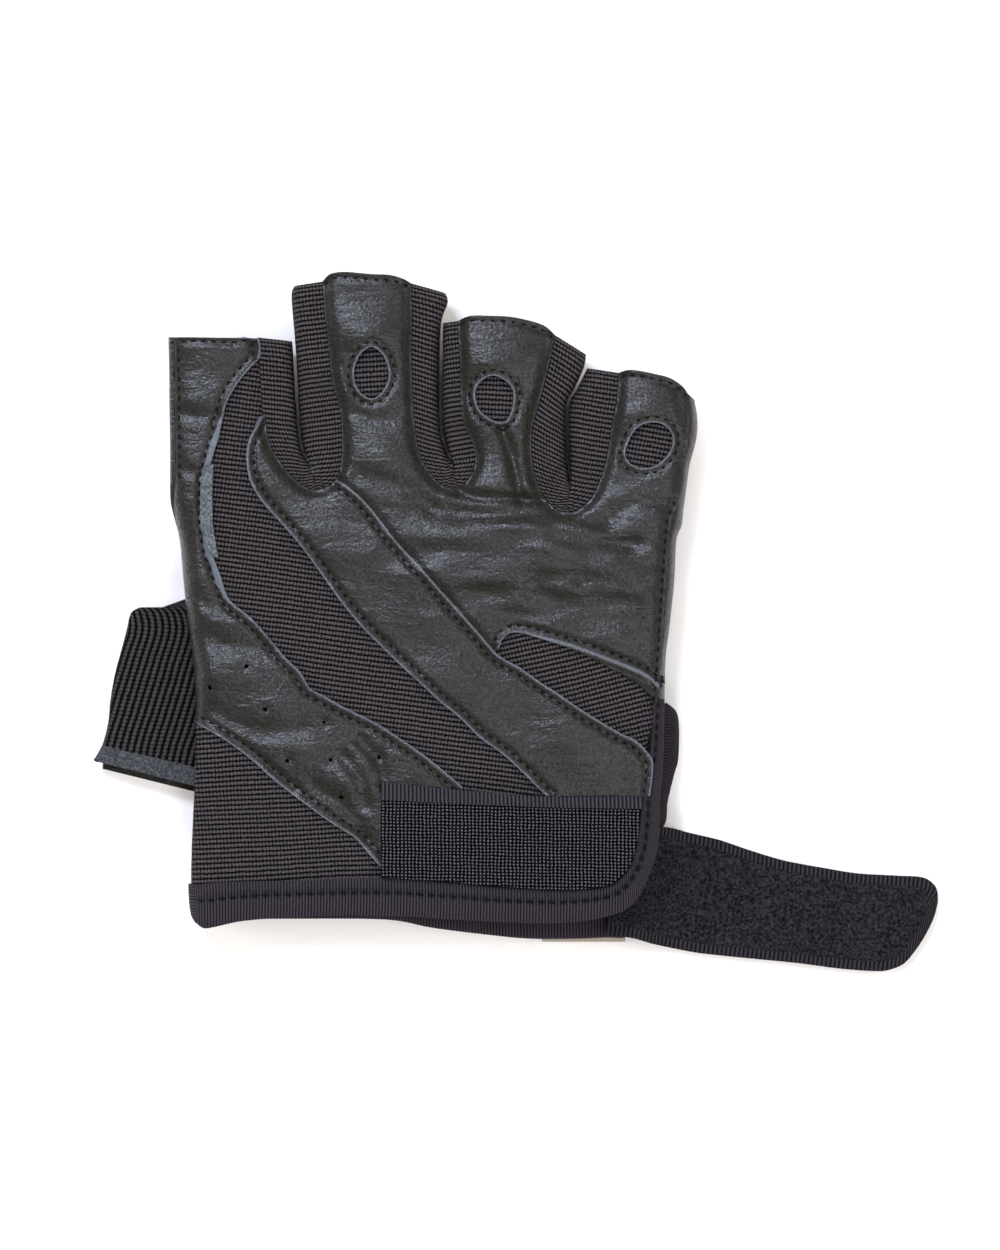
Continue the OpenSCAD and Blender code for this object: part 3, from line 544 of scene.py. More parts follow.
def napped(name, dark, light, scale=900.0, depth=0.6):
    """Brushed surface: short fibres in all directions, scale tufts to a metre, matt, with specks of
    painted light where they stand up: its colour follows the same fibre relief as its bump."""
    made, tree = material(name)
    place = add(tree, "TexCoord").outputs["Object"]
    fibre = add(tree, "TexNoise", None, {
        "Vector": place, "Scale": scale, "Detail": 4.0, "Roughness": 0.7,
    }).outputs["Fac"]
    bump = add(tree, "Bump", None, {"Strength": depth, "Distance": 0.0005, "Height": fibre})
    # Base colour from the fibre relief: raised fibres painted lighter, a painted highlight
    shade(tree, {
        "Base Color": stops(add(tree, "ValToRGB", None, {"Fac": fibre}), (0.4, dark), (0.72, light)),
        "Normal": bump.outputs["Normal"], "Roughness": 0.9, "Specular IOR Level": 0.15,
    })
    return made


# Milled and waxed grain side: black, with a broken blue-grey sheen
BACK_LEATHER = leather("back_leather", "#11110b", "#27241a")
# The same leather without the wax: softer and duller
PALM_LEATHER = leather("palm_leather", "#100f0c", "#26241e", 0.55, 0.4)
PAD_LEATHER = leather("pad_leather", "#0e0e0c", "#22211d", 0.55, 0.4)
# Brushed leather: matt charcoal with a short nap
SUEDE = napped("suede", "#292a2d", "#55595e", 1500.0, 0.5)
# The undyed back of a leather, seen where an edge rolls over: pale grey and matt
FLESH_SIDE = napped("leather_flesh_side", "#3c4043", "#767d83", 1500.0, 0.5)
# Rib knits of wool blend, slightly uneven ridges: painted shade makes the furrows black and painted light
# makes the ridges grey
KNIT = cloth("rib_knit", "#050404", "#474345", 1.1, 0.8, cells=0.7, stray=1.0, low=0.64)
THUMB_KNIT = cloth("thumb_rib_knit", "#020202", "#3b383a", 1.55, 0.9, 0.8, cells=0.6, stray=0.8, low=0.55)
# Moulded nylon hooks on a woven tape: small tips made bright by painted highlights, over a black ground
HOOK_TAPE = cloth("hook_tape", "#020202", "#55555d", 0.85, 0.75, 0.9, 0.08, 1.8, 0.85, 1.0, 0.84)
# Grosgrain: fine straight cross ribs
RIBBON = cloth("grosgrain_ribbon", "#050506", "#38383e", 0.9, 0.45, 0.4, 0.1, 0.2, 0.2)
# Folded nylon tape: a low, close weave
BINDING = cloth("binding_tape", "#070607", "#38343b", 0.7, 0.5, 0.5, 0.15, 0.3, 0.3)
# Satin ribbon: smooth and off-white
LABEL = cloth("label_ribbon", "#938b80", "#bcb4a8", 0.4, 0.4, 0.2, 0.1, 0.0, 0.3)
# Elastic woven round rubber cords: ribs along the strap
WEB_TAPE = cloth("elastic_web", "#050506", "#302d33", 1.0, 0.6, 0.5, 0.1, 0.0, 0.3)
# Brushed nylon loops: deep black, with the raised fuzz painted grey as painted light
PILE = napped("loop_pile", "#040405", "#3a383f", 1700.0, 1.0)
# Twisted polyester thread: black, with a faint shine
THREAD = cloth("sewing_thread", "#020202", "#121212", 0.5, 0.5, 0.2, 0.2)
# The inside of a punched hole: black and shineless, painted shade standing for the dark inside of the hole
HOLE_SHADE = cloth("punched_hole_shade", "#010101", "#030303", 0.5, 0.5, 0.1, 0.0)


# ---- meshes ----
def publish(name, verts, faces, normals, paint, attributes=()):
    """A mesh object from points in mm, four-cornered faces and one normal for each face corner."""
    name = f"sewn_{name}"
    mesh = bpy.data.meshes.new(name)
    mesh.from_pydata(np.asarray(verts, float) * 0.001, [], np.asarray(faces).tolist())
    mesh.polygons.foreach_set("use_smooth", np.ones(len(faces), bool))
    for key, kind, values in attributes:
        field = "vector" if kind == "FLOAT_VECTOR" else "value"
        data = mesh.attributes.new(key, kind, "POINT").data
        data.foreach_set(field, np.asarray(values, np.float32).ravel())
    mesh.update()
    if normals is not None:
        mesh.normals_split_custom_set(np.asarray(normals, float).reshape(-1, 3))
    mesh.materials.append(paint)
    piece = bpy.data.objects.new(name, mesh)
    bpy.context.scene.collection.objects.link(piece)
    return piece


def panel(name, grid, thick, paint, slot, ring=False, cut=None, weave=None):
    """A closed sheet of one thickness: its outside is the grid, its inside lies thick behind it along
    the normals, and strips close its open sides."""
    p, n = grid
    rows, columns = p.shape[:2]
    inside = p - n * thick
    index = np.arange(rows * columns).reshape(rows, columns)
    if ring:
        index = np.concatenate([index, index[:, :1]], axis=1)
    a, b, c, d = index[:-1, :-1], index[1:, :-1], index[1:, 1:], index[:-1, 1:]
    outer = np.stack([a, b, c, d], axis=-1).reshape(-1, 4)
    flat_p, flat_n = p.reshape(-1, 3), n.reshape(-1, 3)
    lean = np.cross(flat_p[outer[:, 2]] - flat_p[outer[:, 0]], flat_p[outer[:, 3]] - flat_p[outer[:, 1]])
    turned = (lean * flat_n[outer[:, 0]]).sum() < 0
    if turned:
        outer = outer[:, ::-1]
    shift = rows * columns
    edges = [(index[0, :-1], index[0, 1:], True), (index[-1, :-1], index[-1, 1:], False)]
    if not ring:
        edges += [(index[:-1, 0], index[1:, 0], False), (index[:-1, -1], index[1:, -1], True)]
    rims = [
        np.stack([s, e, e + shift, s + shift] if flip != turned else [e, s, s + shift, e + shift], axis=-1)
        for s, e, flip in edges
    ]
    rim = np.concatenate(rims)
    verts = np.concatenate([flat_p, inside.reshape(-1, 3)])
    rim_normal = np.cross(verts[rim[:, 2]] - verts[rim[:, 0]], verts[rim[:, 3]] - verts[rim[:, 1]])
    rim_normal /= np.maximum(np.linalg.norm(rim_normal, axis=1, keepdims=True), 1e-9)
    faces = np.concatenate([outer, outer[:, ::-1] + shift, rim])
    rim_normal = np.repeat(rim_normal[:, None], 4, axis=1)
    normals = np.concatenate([flat_n[outer], -flat_n[outer[:, ::-1]], rim_normal])
    attributes = []
    if cut is not None:
        attributes.append(("cut", "FLOAT", np.concatenate([np.asarray(cut).ravel()] * 2)))
    elif paint in (BACK_LEATHER, PALM_LEATHER, PAD_LEATHER):
        attributes.append(("cut", "FLOAT", np.full(2 * shift, UNCUT)))
    if weave is not None:
        w = np.stack([*weave, np.zeros_like(weave[0])], axis=-1).reshape(-1, 3)
        attributes.append(("weave", "FLOAT_VECTOR", np.concatenate([w, w + [0, thick, 0]])))
    piece = publish(name, verts, faces, normals, paint, attributes)
    diagonals = p[1:, 1:] - p[:-1, :-1], p[1:, :-1] - p[:-1, 1:]
    piece["flat_area"] = float(np.linalg.norm(np.cross(*diagonals), axis=-1).sum() / 2 * 1e-6)
    return piece


def moves_with(piece, body):
    """Bakes the place of a finger's or the strap's piece into its mesh, or lets a piece ride on the hand or
    the thumb stall.
    """
    if body in STALLS:
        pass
    elif body == "strap":
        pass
    else:
        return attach(piece, body)
    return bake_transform(piece)


def sew(name, grid, thick, paint, slot, flat, body="hand", stands_for=None, held="stretched", on=(), **words):
    """A cut piece sewn in place: its panel, the body that it moves with and the plain pieces that it
    stands for, its namesake if none are given. Its flat cut in mm (flat) is not used."""
    piece = panel(name, grid, thick, paint, slot, **words)
    del piece["flat_area"]
    moves_with(piece, body)
    if stands_for != ():
        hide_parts(*(stands_for or (name,)))


def stitches(name, rows, paint=THREAD, length=1.45, pitch=2.15, radius=0.24):
    """One row of short threads for each (line, height) pair: capsules that arch a little over the
    surface and end in it."""
    ring_n, sides = 5, 6
    t = np.linspace(-1, 1, ring_n)
    girth = radius * np.sqrt(np.clip(1 - 0.85 * t**4, 0, 1))
    angle = np.arange(sides) * 2 * math.pi / sides
    verts, faces = [], []
    base = 0
    for line, height in rows:
        line = np.asarray(line, float)
        count = max(1, int(length_of(line) / pitch))
        ends = even(line, 2 * count + 1)
        middle = ends[1::2]
        way = ends[2::2] - ends[:-1:2]
        way = way / np.linalg.norm(way, axis=1, keepdims=True)
        p, n = raised(middle, height)
        forward = np.concatenate([way, np.zeros((len(way), 1))], axis=1)
        forward -= (forward * n).sum(axis=1, keepdims=True) * n
        forward /= np.linalg.norm(forward, axis=1, keepdims=True)
        side = np.cross(n, forward)
        for o, f, s, u in zip(p, forward, side, n):
            body = (
                o + f * (t * length / 2)[:, None, None] + u * (0.12 - 0.3 * t**2)[:, None, None]
                + girth[:, None, None] * (np.cos(angle)[None, :, None] * s + np.sin(angle)[None, :, None] * u)
            )
            verts.append(body.reshape(-1, 3))
            index = base + np.arange(ring_n * sides).reshape(ring_n, sides)
            nxt = np.roll(index, -1, axis=1)
            walls = np.stack([index[:-1], index[1:], nxt[1:], nxt[:-1]], axis=-1).reshape(-1, 4)
            faces.append(walls[:, ::-1])
            for cap, flip in ((index[0], False), (index[-1], True)):
                quads = np.array([[cap[0], cap[1], cap[2], cap[3]], [cap[0], cap[3], cap[4], cap[5]]])
                faces.append(quads[:, ::-1] if flip else quads)
            base += ring_n * sides
    verts, faces = np.concatenate(verts), np.concatenate(faces)
    first = verts[faces[0]]
    out = np.cross(first[1] - first[0], first[2] - first[0])
    if out @ (first.mean(axis=0) - verts[:ring_n * sides].mean(axis=0)) < 0:
        faces = faces[:, ::-1]
    return publish(name, verts, faces, None, paint, [("weave", "FLOAT_VECTOR", verts)])


def offset(line, by):
    """A line moved sideways, to the left of its direction for a positive distance."""
    line = np.asarray(line, float)
    way = np.gradient(line, axis=0)
    way /= np.maximum(np.linalg.norm(way, axis=1, keepdims=True), 1e-9)
    return line + by * np.stack([-way[:, 1], way[:, 0]], axis=1)


def clipped(line, h):
    """The part of a line where h is not negative, its ends cut exactly at h = 0."""
    line = np.asarray(line, float)
    keep = [line[0]] if h[0] >= 0 else []
    for k in range(len(line) - 1):
        if (h[k] >= 0) != (h[k + 1] >= 0):
            s = h[k] / (h[k] - h[k + 1])
            keep.append(line[k] * (1 - s) + line[k + 1] * s)
        if h[k + 1] >= 0:
            keep.append(line[k + 1])
    return np.array(keep)


def above(line, finger, v):
    """The part of a line past v on the finger."""
    return clipped(line, past(finger, line) - v)


def below(line, finger, v):
    """The part of a line before v on the finger."""
    return clipped(line, v - past(finger, line))


def knit_lines(xy, lean=0.0):
    """Where a knit's rows and columns run, in mm: rows across the hand, leaning by a few degrees."""
    g = along(lean)
    bow = 0.4 * ripple(xy, 22, 4)
    return xy @ g + bow, xy @ np.array([g[1], -g[0]]) + bow


# Seams split at their lowest point, each half running from the finger opening down
seam_lines = {}
for web, lowest, left, right in (
    (WEB1, WEB_LOWEST[0], "index", "middle_left"),
    (WEB2, WEB_LOWEST[1], "middle_right", "ring_left"),
    (WEB3, WEB_LOWEST[2], "ring_right", "little"),
):
    whole = smooth(web)
    seam_lines[left] = whole[:8 * lowest + 1]
    seam_lines[right] = whole[8 * lowest:][::-1]
left_line, right_line, side_seam = smooth(LEFT), smooth(RIGHT), smooth(SIDE_SEAM)

# ---- leather on the thumb side ----
edge_line, low_line = smooth(THUMB_SIDE_EDGE), smooth(THUMB_SIDE_LOW)
thumb_outer = np.concatenate([left_line[left_line[:, 1] > -23], low_line])
thumb_sewn = [(coarse(THUMB_SIDE_EDGE), 1.7), (coarse(THUMB_SIDE_LOW), 1.8),
              (coarse(TIPS["index"]), HEM_INSET)]


def thumb_side(xy):
    return back(xy, LEATHER_LIFT, thumb_sewn)


grid = between(thumb_outer, edge_line)
cut = np.minimum(dist(grid, thumb_sewn[0][0]), dist(grid, thumb_sewn[1][0]))
side_flange = dist(grid, LEFT_LINE) + 9 * ease(-grid[..., 1], -31, -26)
turned = ease(grid[..., 1], 2, 8) * ease(-grid[..., 1], -47, -40)
cut = np.minimum(cut - turned * (1.1 + 0.5 * ripple(grid, 3, 14, 4)), side_flange)
sew("thumb_side_leather", raised(grid, thumb_side), LEATHER_T, BACK_LEATHER, "back_leather", (66, 128),
    "index", ("thumb_side_leather", "index_leather", "thumb_side_wall", "index_side_wall"), cut=cut)

index_hem = smooth(TIPS["index"]) - [0, HEM_INSET]
side_stitch = left_line[(left_line[:, 1] > 31) & (left_line[:, 1] < 63)] + [2.2, 0]
piece = stitches("thumb_side_stitching", [
    (offset(edge_line[edge_line[:, 1] > -38], -1.7), thumb_side),
    (offset(low_line, 1.8), thumb_side), (index_hem, thumb_side), (side_stitch, thumb_side)])
moves_with(piece, "index")

# vents: black discs set just over the leather and sunk into it, painted shade for the holes' insides
angle = np.arange(12) * math.pi / 6
verts, faces = [], []
for k, vent in enumerate(VENTS):
    spokes = np.stack([np.cos(angle), np.sin(angle)], axis=1)
    rings = [vent + r * spokes for r in (0.15, 0.66, 0.66, 0.15)]
    z = thumb_side(np.array([vent], float))[0]
    for ring, dz in zip(rings, (0.05, 0.04, -0.6, -0.62)):
        verts.append(np.concatenate([ring, np.full((12, 1), z + dz)], axis=1))
    index = 48 * k + np.arange(48).reshape(4, 12)
    nxt = np.roll(index, -1, axis=1)
    faces.append(np.stack([index[:-1], index[1:], nxt[1:], nxt[:-1]], axis=-1).reshape(-1, 4))
    for cap in (index[0], index[-1][::-1]):
        faces.append(np.array([[cap[0], cap[j], cap[j + 1], cap[j + 2]] for j in range(1, 10, 2)]))
verts, faces = np.concatenate(verts), np.concatenate(faces)
piece = publish("vent_holes", verts, faces, None, HOLE_SHADE, [("weave", "FLOAT_VECTOR", verts)])
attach(piece, "hand")

# ---- knit ----
under_left = offset(edge_line, -2.6)
under_left = np.concatenate([under_left[under_left[:, 1] < 62], [(9, -43)]])
band_low = smooth(BAND_LOW)
web1_left = above(seam_lines["index"], "index", past("index", BAND_LOW[0]))
knit_right = np.concatenate([web1_left[web1_left[:, 1] < 62], offset(band_low, 2.6), [(31, -43)]])
grid = between(under_left, knit_right)
sew("back_knit", raised(grid, back), KNIT_T, KNIT, "rib_knit", (30, 125), "index",
    ("back_knit", "index_knit"), weave=knit_lines(grid, 8))

leaf_top = np.concatenate([[(13.5, -7.5)], smooth(LEAF_EDGE) + [0.5, 2.5]])
leaf_low = offset(smooth(BAND_HIGH), -2.6)
leaf_low = leaf_low[(leaf_low[:, 0] > 11) & (leaf_low[:, 1] > -33)]
grid = between(leaf_top, leaf_low)
sew("leaf_knit", raised(grid, back), KNIT_T, KNIT, "rib_knit", (22, 46), stands_for=(),
    weave=knit_lines(grid, -14))

low_top = offset(low_line, 2.6)
low_left = left_line[(left_line[:, 1] < -21) & (left_line[:, 1] > -61)]
grid = between(np.concatenate([low_left, smooth([(-53.8, -61.5), (-30, -61), (-9, -60.6)])]),
               np.concatenate([low_top[:1], low_top, [(-8.5, -59)]]))
sew("wrist_knit", raised(grid, back), KNIT_T, KNIT, "rib_knit", (40, 47),
    weave=knit_lines(grid, -3))

# ---- diagonal band ----
band_high = np.concatenate([
    below(seam_lines["index"], "index", past("index", np.array([-37.4, 46.2]))),
    smooth([(-25.5, 29.5), (-22.8, 30.6), (-20.7, 31.6)]), smooth(BAND_HIGH)])
band_sewn = [(coarse(BAND_LOW), 1.6), (coarse(BAND_HIGH), 1.6)]


def band(xy):
    return back(xy, LEATHER_LIFT + 0.15, band_sewn)


grid = between(band_low, band_high)
cut = np.minimum(dist(grid, band_sewn[0][0]), dist(grid, band_sewn[1][0]))
sew("diagonal_band", raised(grid, band), LEATHER_T, BACK_LEATHER, "back_leather", (24, 125), "index",
    ("diagonal_band", "index_band_tip"), cut=cut)
rows = [(offset(band_low, 1.6)[8:], band), (offset(smooth(BAND_HIGH), -1.6), band)]
moves_with(stitches("band_stitching", rows), "index")

# ---- main leather over the other fingers ----
tops = {}
for finger, left, right in (("middle", "middle_left", "middle_right"), ("ring", "ring_left", "ring_right")):
    v = -STALLS[finger][2]
    tops[finger] = (above(seam_lines[left], finger, v), above(seam_lines[right], finger, v))
v = -STALLS["little"][2]
tops["little"] = (above(seam_lines["little"], "little", v), above(side_seam, "little", v))
hand_side = below(side_seam, "little", v)

hand_top = np.concatenate([
    below(seam_lines["middle_left"], "middle", -STALLS["middle"][2])[::-1],
    below(seam_lines["middle_right"], "middle", -STALLS["middle"][2]),
    below(seam_lines["ring_left"], "ring", -STALLS["ring"][2])[::-1],
    below(seam_lines["ring_right"], "ring", -STALLS["ring"][2]),
    below(seam_lines["little"], "little", v)[::-1],
    tops["little"][1][-1:],
])
main_sewn = [(coarse(LEAF_EDGE), 1.5)]
band_edge = coarse(BAND_HIGH)


def main_back(xy):
    return back(xy, LEATHER_LIFT, main_sewn) - 0.5 * hump(dist(xy, band_edge), 1.1)


low_edge = offset(smooth(BAND_HIGH), -0.9)
low_edge = np.concatenate([low_edge[low_edge[:, 0] < 13.2], smooth(LEAF_EDGE)])
grid = hung(even(hand_top, 260), low_edge, (-24.5, 52.6), (-23, 76), 110, hand_side)
sew("main_back_leather", raised(grid, main_back), LEATHER_T, BACK_LEATHER, "back_leather", (85, 62),
    cut=dist(grid, main_sewn[0][0]))
rows = [(offset(smooth(LEAF_EDGE)[4:], 1.5), main_back), (hand_side - [0.9, 0], main_back)]
moves_with(stitches("main_stitching", rows), "hand")

for finger, (left, right) in tops.items():
    tip = smooth(TIPS[finger])
    hole = smooth(WINDOWS[finger], closed=True)
    hole_line = coarse(WINDOWS[finger], 1.2, closed=True)
    sewn = [(coarse(TIPS[finger]), HEM_INSET), (hole_line, 1.3)]

    def finger_back(xy, sewn=sewn):
        return back(xy, LEATHER_LIFT, sewn)

    sides = [left[::-1], tip, right, np.stack([right[-1], left[-1]])]
    outline = np.concatenate([even(s, max(6, int(length_of(s) / CELL)))[:-1] for s in sides])
    grid = around(hole, outline)
    sew(f"{finger}_leather", raised(grid, finger_back), LEATHER_T, BACK_LEATHER, "back_leather",
        (24, STALL_CUT[finger]), finger, ring=True, cut=dist(grid, hole_line))
    middle = hole.mean(axis=0)
    grid = around(middle + (hole - middle) * 0.04, middle + (hole - middle) * 1.35, 14)
    sew(f"{finger}_window_knit", raised(grid, back, lift=0.1), KNIT_T, KNIT, "rib_knit", (14, 17), finger,
        ring=True, weave=knit_lines(grid, STALLS[finger][1]))
    loop = np.concatenate([hole, hole[:1]])
    loop = middle + (loop - middle) * (1 + 1.3 / np.linalg.norm(loop - middle, axis=1, keepdims=True))
    rows = [(loop, finger_back), (tip - [0, HEM_INSET], finger_back)]
    moves_with(stitches(f"{finger}_stitching", rows), finger)

# ---- gussets between the fingers ----
for name, finger, stands_for in (
    ("index", "index", ("index_gusset", "web_index_middle")),
    ("middle_left", "middle", ("middle_gusset_left",)),
    ("middle_right", "middle", ("middle_gusset_right",)),
    ("ring_left", "ring", ("ring_gusset_left", "web_middle_ring")),
    ("ring_right", "ring", ("ring_gusset_right",)),
    ("little", "little", ("little_gusset", "web_ring_little")),
):
    seam = seam_lines[name]
    n = int(length_of(seam) / 0.5)
    seam, fold = even(seam, n), even(smooth(FOLDS[name]), n)
    top = back(seam, LEATHER_LIFT) - 0.5
    p, normal = folded(seam, fold, top, PALM_Z + 0.4, tuck=0.7, puff=1.3)
    pinch = 0.3 * (1 - ease(run_of(p, 0), 0, 2.2))
    p[..., 2] = p[..., 2] * (1 - pinch) + pinch * MIDDLE_Z
    normal = facing(p, normal)
    sew(stands_for[0], (p, normal), KNIT_T, KNIT, "rib_knit", (24, length_of(seam) + 2), finger, stands_for,
        weave=walked(p))

# ---- rolled palm leather along the little-finger side ----
for name, line_in, line_out, body in (
    ("little_side_wall", hand_side, below(right_line, "little", v), "hand"),
    ("little_outer_wall", above(side_seam, "little", v), above(right_line, "little", v), "little"),
):
    n = int(length_of(line_out) / CELL)
    seam, out = even(line_in, n), even(line_out, n)
    p, normal = folded(seam, out, back(seam, LEATHER_LIFT) - 0.3, PALM_Z + 0.3, tuck=0.7)
    sew(name, (p, normal), LEATHER_T, PALM_LEATHER, "palm_leather", (17, length_of(out)), body)

# ---- palm side ----
palm_tops = {
    "index": (above(left_line, "index", -3.5), above(seam_lines["index"], "index", -3.5)),
    "middle": tops["middle"], "ring": tops["ring"],
    "little": tops["little"],
}
for finger, (left, right) in palm_tops.items():
    grid = raised(between(left, right, m=40), palm, -1)
    sew(f"{finger}_palm", grid, LEATHER_T, PALM_LEATHER, "palm_leather", (26, STALL_CUT[finger]), finger)

palm_top = np.concatenate([
    palm_tops["index"][0][-1:],
    below(seam_lines["index"], "index", -3.5), below(seam_lines["middle_left"], "middle", -4)[::-1],
    below(seam_lines["middle_right"], "middle", -4), below(seam_lines["ring_left"], "ring", -4)[::-1],
    below(seam_lines["ring_right"], "ring", -4), below(seam_lines["little"], "little", v)[::-1],
    tops["little"][1][-1:],
])
cuff = smooth(PALM_CUFF)
cuff_low = cuff[(cuff[:, 0] < 46.2) & (cuff[:, 1] < -60)] + [0, 0.6]
right_side = np.concatenate([hand_side, cuff[cuff[:, 0] > 45.1][::-1] - [0.6, 0]])
left_side = left_line[(left_line[:, 1] < 36) & (left_line[:, 1] > -68.4)]
grid = hung(even(palm_top, 280), cuff_low, (-53.5, 44.7), (-54, 100), 150, right_side, left_side)
sew("palm_leather", raised(grid, palm, -1), LEATHER_T, PALM_LEATHER, "palm_leather", (112, 112))

thenar_left = left_line[(left_line[:, 1] < 22) & (left_line[:, 1] > -46)] + [1.5, 0]
thenar_right = smooth([(-31, 23), (-28, 15), (-27.5, 0), (-27.5, -20), (-28, -36), (-31, -47)])
grid = between(thenar_left, thenar_right)
sew("thenar_leather", raised(grid, palm, -1, lift=0.85), 0.8, PALM_LEATHER, "palm_leather", (30, 72))

# ---- palm pads: crowned, sewn down round their rims ----
PADS = {
    "heel_pad": [(-20, 6), (0, 8.5), (25, 6.5), (43, 1), (47, -20), (43, -42), (28, -51), (8, -50),
                 (-12, -42),
                 (-21, -25), (-23, -8)],
    "finger_pad": [(-25, 22.5), (-10, 25.5), (14, 25.5), (30, 21.5), (44, 25), (50, 20), (47, 12), (25, 12.5),
                   (0, 14.5), (-20, 13.5)],
}
for name, points in PADS.items():
    rim = even(np.concatenate([smooth(points, closed=True), [points[0]]]), 200)[:-1]
    centre = rim.mean(axis=0)
    r = np.linspace(0.02, 1, 30)[:, None, None]
    xy = centre + (rim - centre)[None] * r
    crown = 1.6 * (1 - np.clip((r[..., 0] - 0.5) / 0.5, 0, 1) ** 3) + 0 * xy[..., 0]
    z = PALM_Z - 0.55 - crown + 0.25 * hump(dist(xy, rim) - 3, 1.0)
    p = np.concatenate([xy, z[..., None]], axis=-1)
    normal = facing(p, np.array([0, 0, -1.0]), ring=True)
    piece = panel(name, (p, normal), 0.6, PAD_LEATHER, "pad_leather", ring=True)
    del piece["flat_area"]
    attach(piece, "hand")
    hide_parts(f"{name}_cover", f"{name}_foam")

# ---- cuff ----
inner, outer = smooth(FLAP_INNER), smooth(FLAP_OUTER)
n = 320
inner, outer = even(inner, n), even(outer, n)
top = back(inner, 0.0, creased=False) + 0.75


def binding_top(xy):
    return back(xy, 0.75, creased=False)


row = inner * 0.62 + outer * 0.38
p, normal = folded(inner, outer, top, top - 2.6, rows=44, flat=0.8)
upper = np.arange(44) < 22
p[..., 2] -= 0.55 * hump(dist(p, row[::6]), 0.6) * upper
p[..., 2] += 0.3 * hump(dist(p, (inner * 0.82 + outer * 0.18)[::6]), 0.9) * upper
normal = facing(p, normal)
sew("cuff_binding_back", (p, normal), 0.6, BINDING, "binding_tape", (17.5, 165), held="folded",
    weave=walked(p))
moves_with(stitches("cuff_stitching", [(row, binding_top)], length=1.6, pitch=2.5), "hand")

cuff_line = even(cuff, n)
inward = offset(cuff_line, 5.5)
p, normal = folded(inward, cuff_line, PALM_Z + 1.9, PALM_Z - 0.6, rows=24, flat=0.8)
sew("cuff_binding_palm", (p, normal), 0.6, BINDING, "binding_tape", (13, length_of(cuff_line)),
    held="folded", weave=walked(p))

side = even(left_line[left_line[:, 1] < -59.5], 24)
p, normal = folded(side + [3.5, 0], side - [0.7, 0], KNIT_Z - 0.4, PALM_Z + 0.8, tuck=0)
sew("cuff_binding_side", (p, normal), 0.6, BINDING, "binding_tape", (15, 10), stands_for=(),
    weave=walked(p))


def hook_height(xy):
    return back(xy, 1.55, creased=False) + 0.25 * hump(dist(xy, HOOK_EDGE), 2.0)


HOOK_EDGE = coarse(HOOK_LOW)
grid = between(smooth(HOOK_TOP), smooth(HOOK_LOW))
sew("hook_patch", raised(grid, hook_height), 1.3, HOOK_TAPE, "hook_tape", (60, 20), held="laid",
    on=("back_knit",), weave=(grid[..., 0], grid[..., 1] + 0.02 * grid[..., 0]))


def ribbon_height(xy):
    return back(xy, 2.0, creased=False)


grid = between(smooth(RIBBON_TOP), smooth(RIBBON_LOW))
sew("hook_ribbon", raised(grid, ribbon_height), 0.5, RIBBON, "ribbon", (59.5, 11), held="laid",
    on=("hook_patch",), weave=walked(grid))

grid = between([(25.5, -65), (25.5, -73.5)], [(44.5, -65), (44.5, -73.5)])
p = np.concatenate([grid, np.full(grid.shape[:2] + (1,), 1.6)], axis=-1)
sew("care_label", (p, np.broadcast_to([0.0, 0, 1], p.shape)), 0.35, LABEL, "label_ribbon", (19, 10.5),
    held="folded", on=("cuff_binding_palm",), weave=(grid[..., 0], grid[..., 1]))

# ---- wrist strap ----
high, low = even(smooth(STRAP_HIGH), 190), even(smooth(STRAP_LOW), 190)
grid = between(high, low, len(high), 60)


def strap_height(xy):
    """Flat on the table, rising over the palm's cuff to its root under the flap."""
    s = (xy - STRAP_AT) @ STRAP_WAY
    return 2.2 + 4.4 * (1 - ease(s, -7, 3)) + 0.15 * ripple(xy, 14, 9)


side_d = np.minimum(dist(grid, high), dist(grid, low))
p, normal = raised(grid, strap_height)
p[..., 2] -= 0.5 * hump(side_d, 0.9)
sew("strap_web", (p, normal), 1.3, WEB_TAPE, "elastic_web", (30, 80), "strap", ("strap_web", "strap_root"),
    weave=walked(p))

high_in, low_in = offset(high, -2.2), offset(low, 2.2)
keep = slice(2, -6)
grid = between(high_in[keep], low_in[keep])


def pile_height(xy):
    d = np.minimum(dist(xy, high_in), dist(xy, low_in))
    return strap_height(xy) + 0.45 * np.minimum(d / 0.8, 1) + 0.08 * ripple(xy, 1.6, 12, 9)


p, normal = raised(grid, pile_height)
sew("strap_pile", (p, normal), 0.4, PILE, "loop_pile", (27, 76), "strap")

# ---- thumb stall ----
n = 110
left, right = even(smooth(THUMB_LEFT), n), even(smooth(THUMB_RIGHT), n)
a = np.arange(120) * 2 * math.pi / 120


def tube(left, right, low, high):
    """Flattened tube: xy = middle + half width cos(a)^0.8 and z = middle + half height sin(a)^0.6."""
    middle, half = (left + right) / 2, (right - left) / 2
    c, s = np.cos(a), np.sin(a)
    c, s = np.sign(c) * np.abs(c) ** 0.8, np.sign(s) * np.abs(s) ** 0.6
    xy = middle[:, None] + half[:, None] * c[None, :, None]
    z = (low + high) / 2 + (high - low) / 2 * s[None, :] + 0 * xy[..., 0]
    p = np.concatenate([xy, z[..., None]], axis=-1)
    axis = np.concatenate([middle, np.full((len(middle), 1), (low + high) / 2)], axis=1)[:, None]
    return p, facing(p, p - axis, ring=True)


p, normal = tube(left, right, 1.2, 6.7)
p[..., 2] += 0.25 * ripple(p[..., :2], 9, 6) * (normal[..., 2] > 0)
sew("thumb_knit", (p, normal), KNIT_T, THUMB_KNIT, "rib_knit", (76, 42), "thumb", ring=True,
    weave=(run_of(p, 1), run_of(p, 0)))

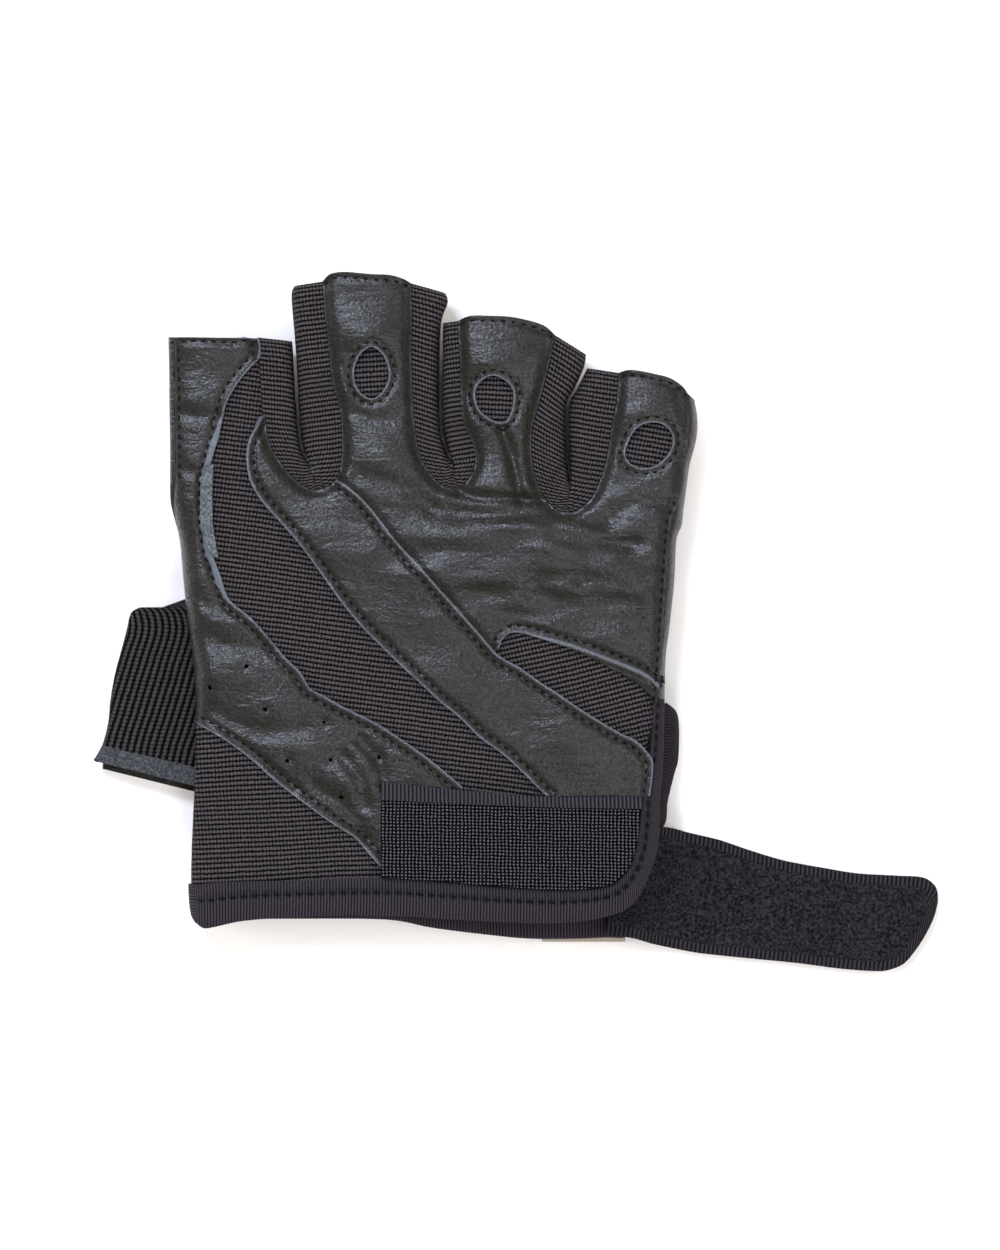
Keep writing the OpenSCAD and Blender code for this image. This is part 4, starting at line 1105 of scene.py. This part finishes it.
hem_left = smooth([(-74.9, -28.6), (-75.9, -30.4), (-76.9, -32)])
hem_right = smooth([(-38.6, -37), (-39, -39.3), (-39.4, -41.5)])
p, normal = tube(even(hem_left, 14), even(hem_right, 14), 1.15, 7.0)
p[..., 2] += 0.2 * ripple(p[..., :2], 5, 7) * (normal[..., 2] > 0)
sew("thumb_hem", (p, normal), 1.0, SUEDE, "suede", (80, 10), "thumb", ring=True)

under_left = smooth([(-66.6, 1), (-68.5, -3), (-71, -13), (-72.6, -23), (-74.4, -30), (-74.9, -34)])
under_right = smooth([(-36, 12), (-31, 6), (-30, -3), (-33, -18), (-37.5, -33), (-40.5, -42.5)])
grid = between(under_left, under_right)


def thumb_palm(xy):
    return 0.05 + 0 * xy[..., 0]


sew("thumb_leather", raised(grid, thumb_palm, -1), LEATHER_T, PALM_LEATHER, "palm_leather", (38, 48), "thumb")

# ---- curled suede strip on the thumb side ----
strip_left = smooth([(-51.2, 34.3), (-51.9, 31.8), (-52.2, 23.9), (-51.5, 20.5), (-50.8, 17.5),
                     (-49.5, 14.6)])
strip_right = smooth([(-49.2, 35.4), (-49.4, 31.8), (-49.4, 22.7), (-48.8, 18.2), (-48.1, 14.2)])


def strip_height(xy):
    return back(xy, LEATHER_LIFT + 0.55) + 0.5 * hump(dist(xy, strip_left), 0.8)


grid = between(strip_left, strip_right, 44, 8)
sew("suede_strip", raised(grid, strip_height), 0.5, FLESH_SIDE, "suede", (10, 21), "index", ())

# ---- floor, light and camera ----
floor = bpy.data.meshes.new("floor")
corners = [(x, y, FLOOR_Z) for x, y in ((-3, -3), (3, -3), (3, 3), (-3, 3))]
floor.from_pydata(corners, [], [(0, 1, 2, 3)])
floor_piece = bpy.data.objects.new("floor", floor)
bpy.context.scene.collection.objects.link(floor_piece)
paper, tree = material("white_table")
shade(tree, {"Base Color": srgb("#f8f7f8"), "Roughness": 0.9, "Specular IOR Level": 0.1})
floor.materials.append(paper)

world = bpy.data.worlds.new("studio")
world.use_nodes = True
world.node_tree.nodes["Background"].inputs["Color"].default_value = srgb("#fbfaf8")
world.node_tree.nodes["Background"].inputs["Strength"].default_value = 0.2
bpy.context.scene.world = world


def soft_box(name, place, target, size, watts, colour, seen=True):
    lamp = bpy.data.lights.new(name, "AREA")
    lamp.size, lamp.energy, lamp.color = size, watts, srgb(colour)[:3]
    item = bpy.data.objects.new(name, lamp)
    item.location = place
    item.visible_glossy = seen
    way = np.array(place) - np.array(target)
    item.rotation_euler = (
        math.acos(way[2] / np.linalg.norm(way)), 0, math.atan2(way[1], way[0]) + math.pi / 2
    )
    bpy.context.scene.collection.objects.link(item)


soft_box("key", (-0.35, 0.62, 1.1), (0, 0, 0), 0.3, 12, "#dfe8ff")
soft_box("second", (0.45, -0.3, 1.15), (0, 0, 0), 0.5, 3.5, "#f4f6ff")
for k, place in enumerate([(-1.3, 0, 0.7), (0, 1.3, 0.7), (1.3, 0, 0.7), (0, -1.3, 0.7)]):
    soft_box(f"low_{k}", place, (0, 0, 0), 0.8, 13, "#fff9f2", False)

CAMERA_AT = (0.0159, -0.00114, 2.381)
lens = bpy.data.cameras.new("camera")
lens.type, lens.lens, lens.sensor_width, lens.sensor_fit = "PERSP", 300, 36, "AUTO"
lens.clip_end = 20
camera = bpy.data.objects.new("camera", lens)
camera.location = CAMERA_AT
bpy.context.scene.collection.objects.link(camera)
bpy.context.scene.camera = camera
bpy.context.scene.view_settings.view_transform = "Standard"
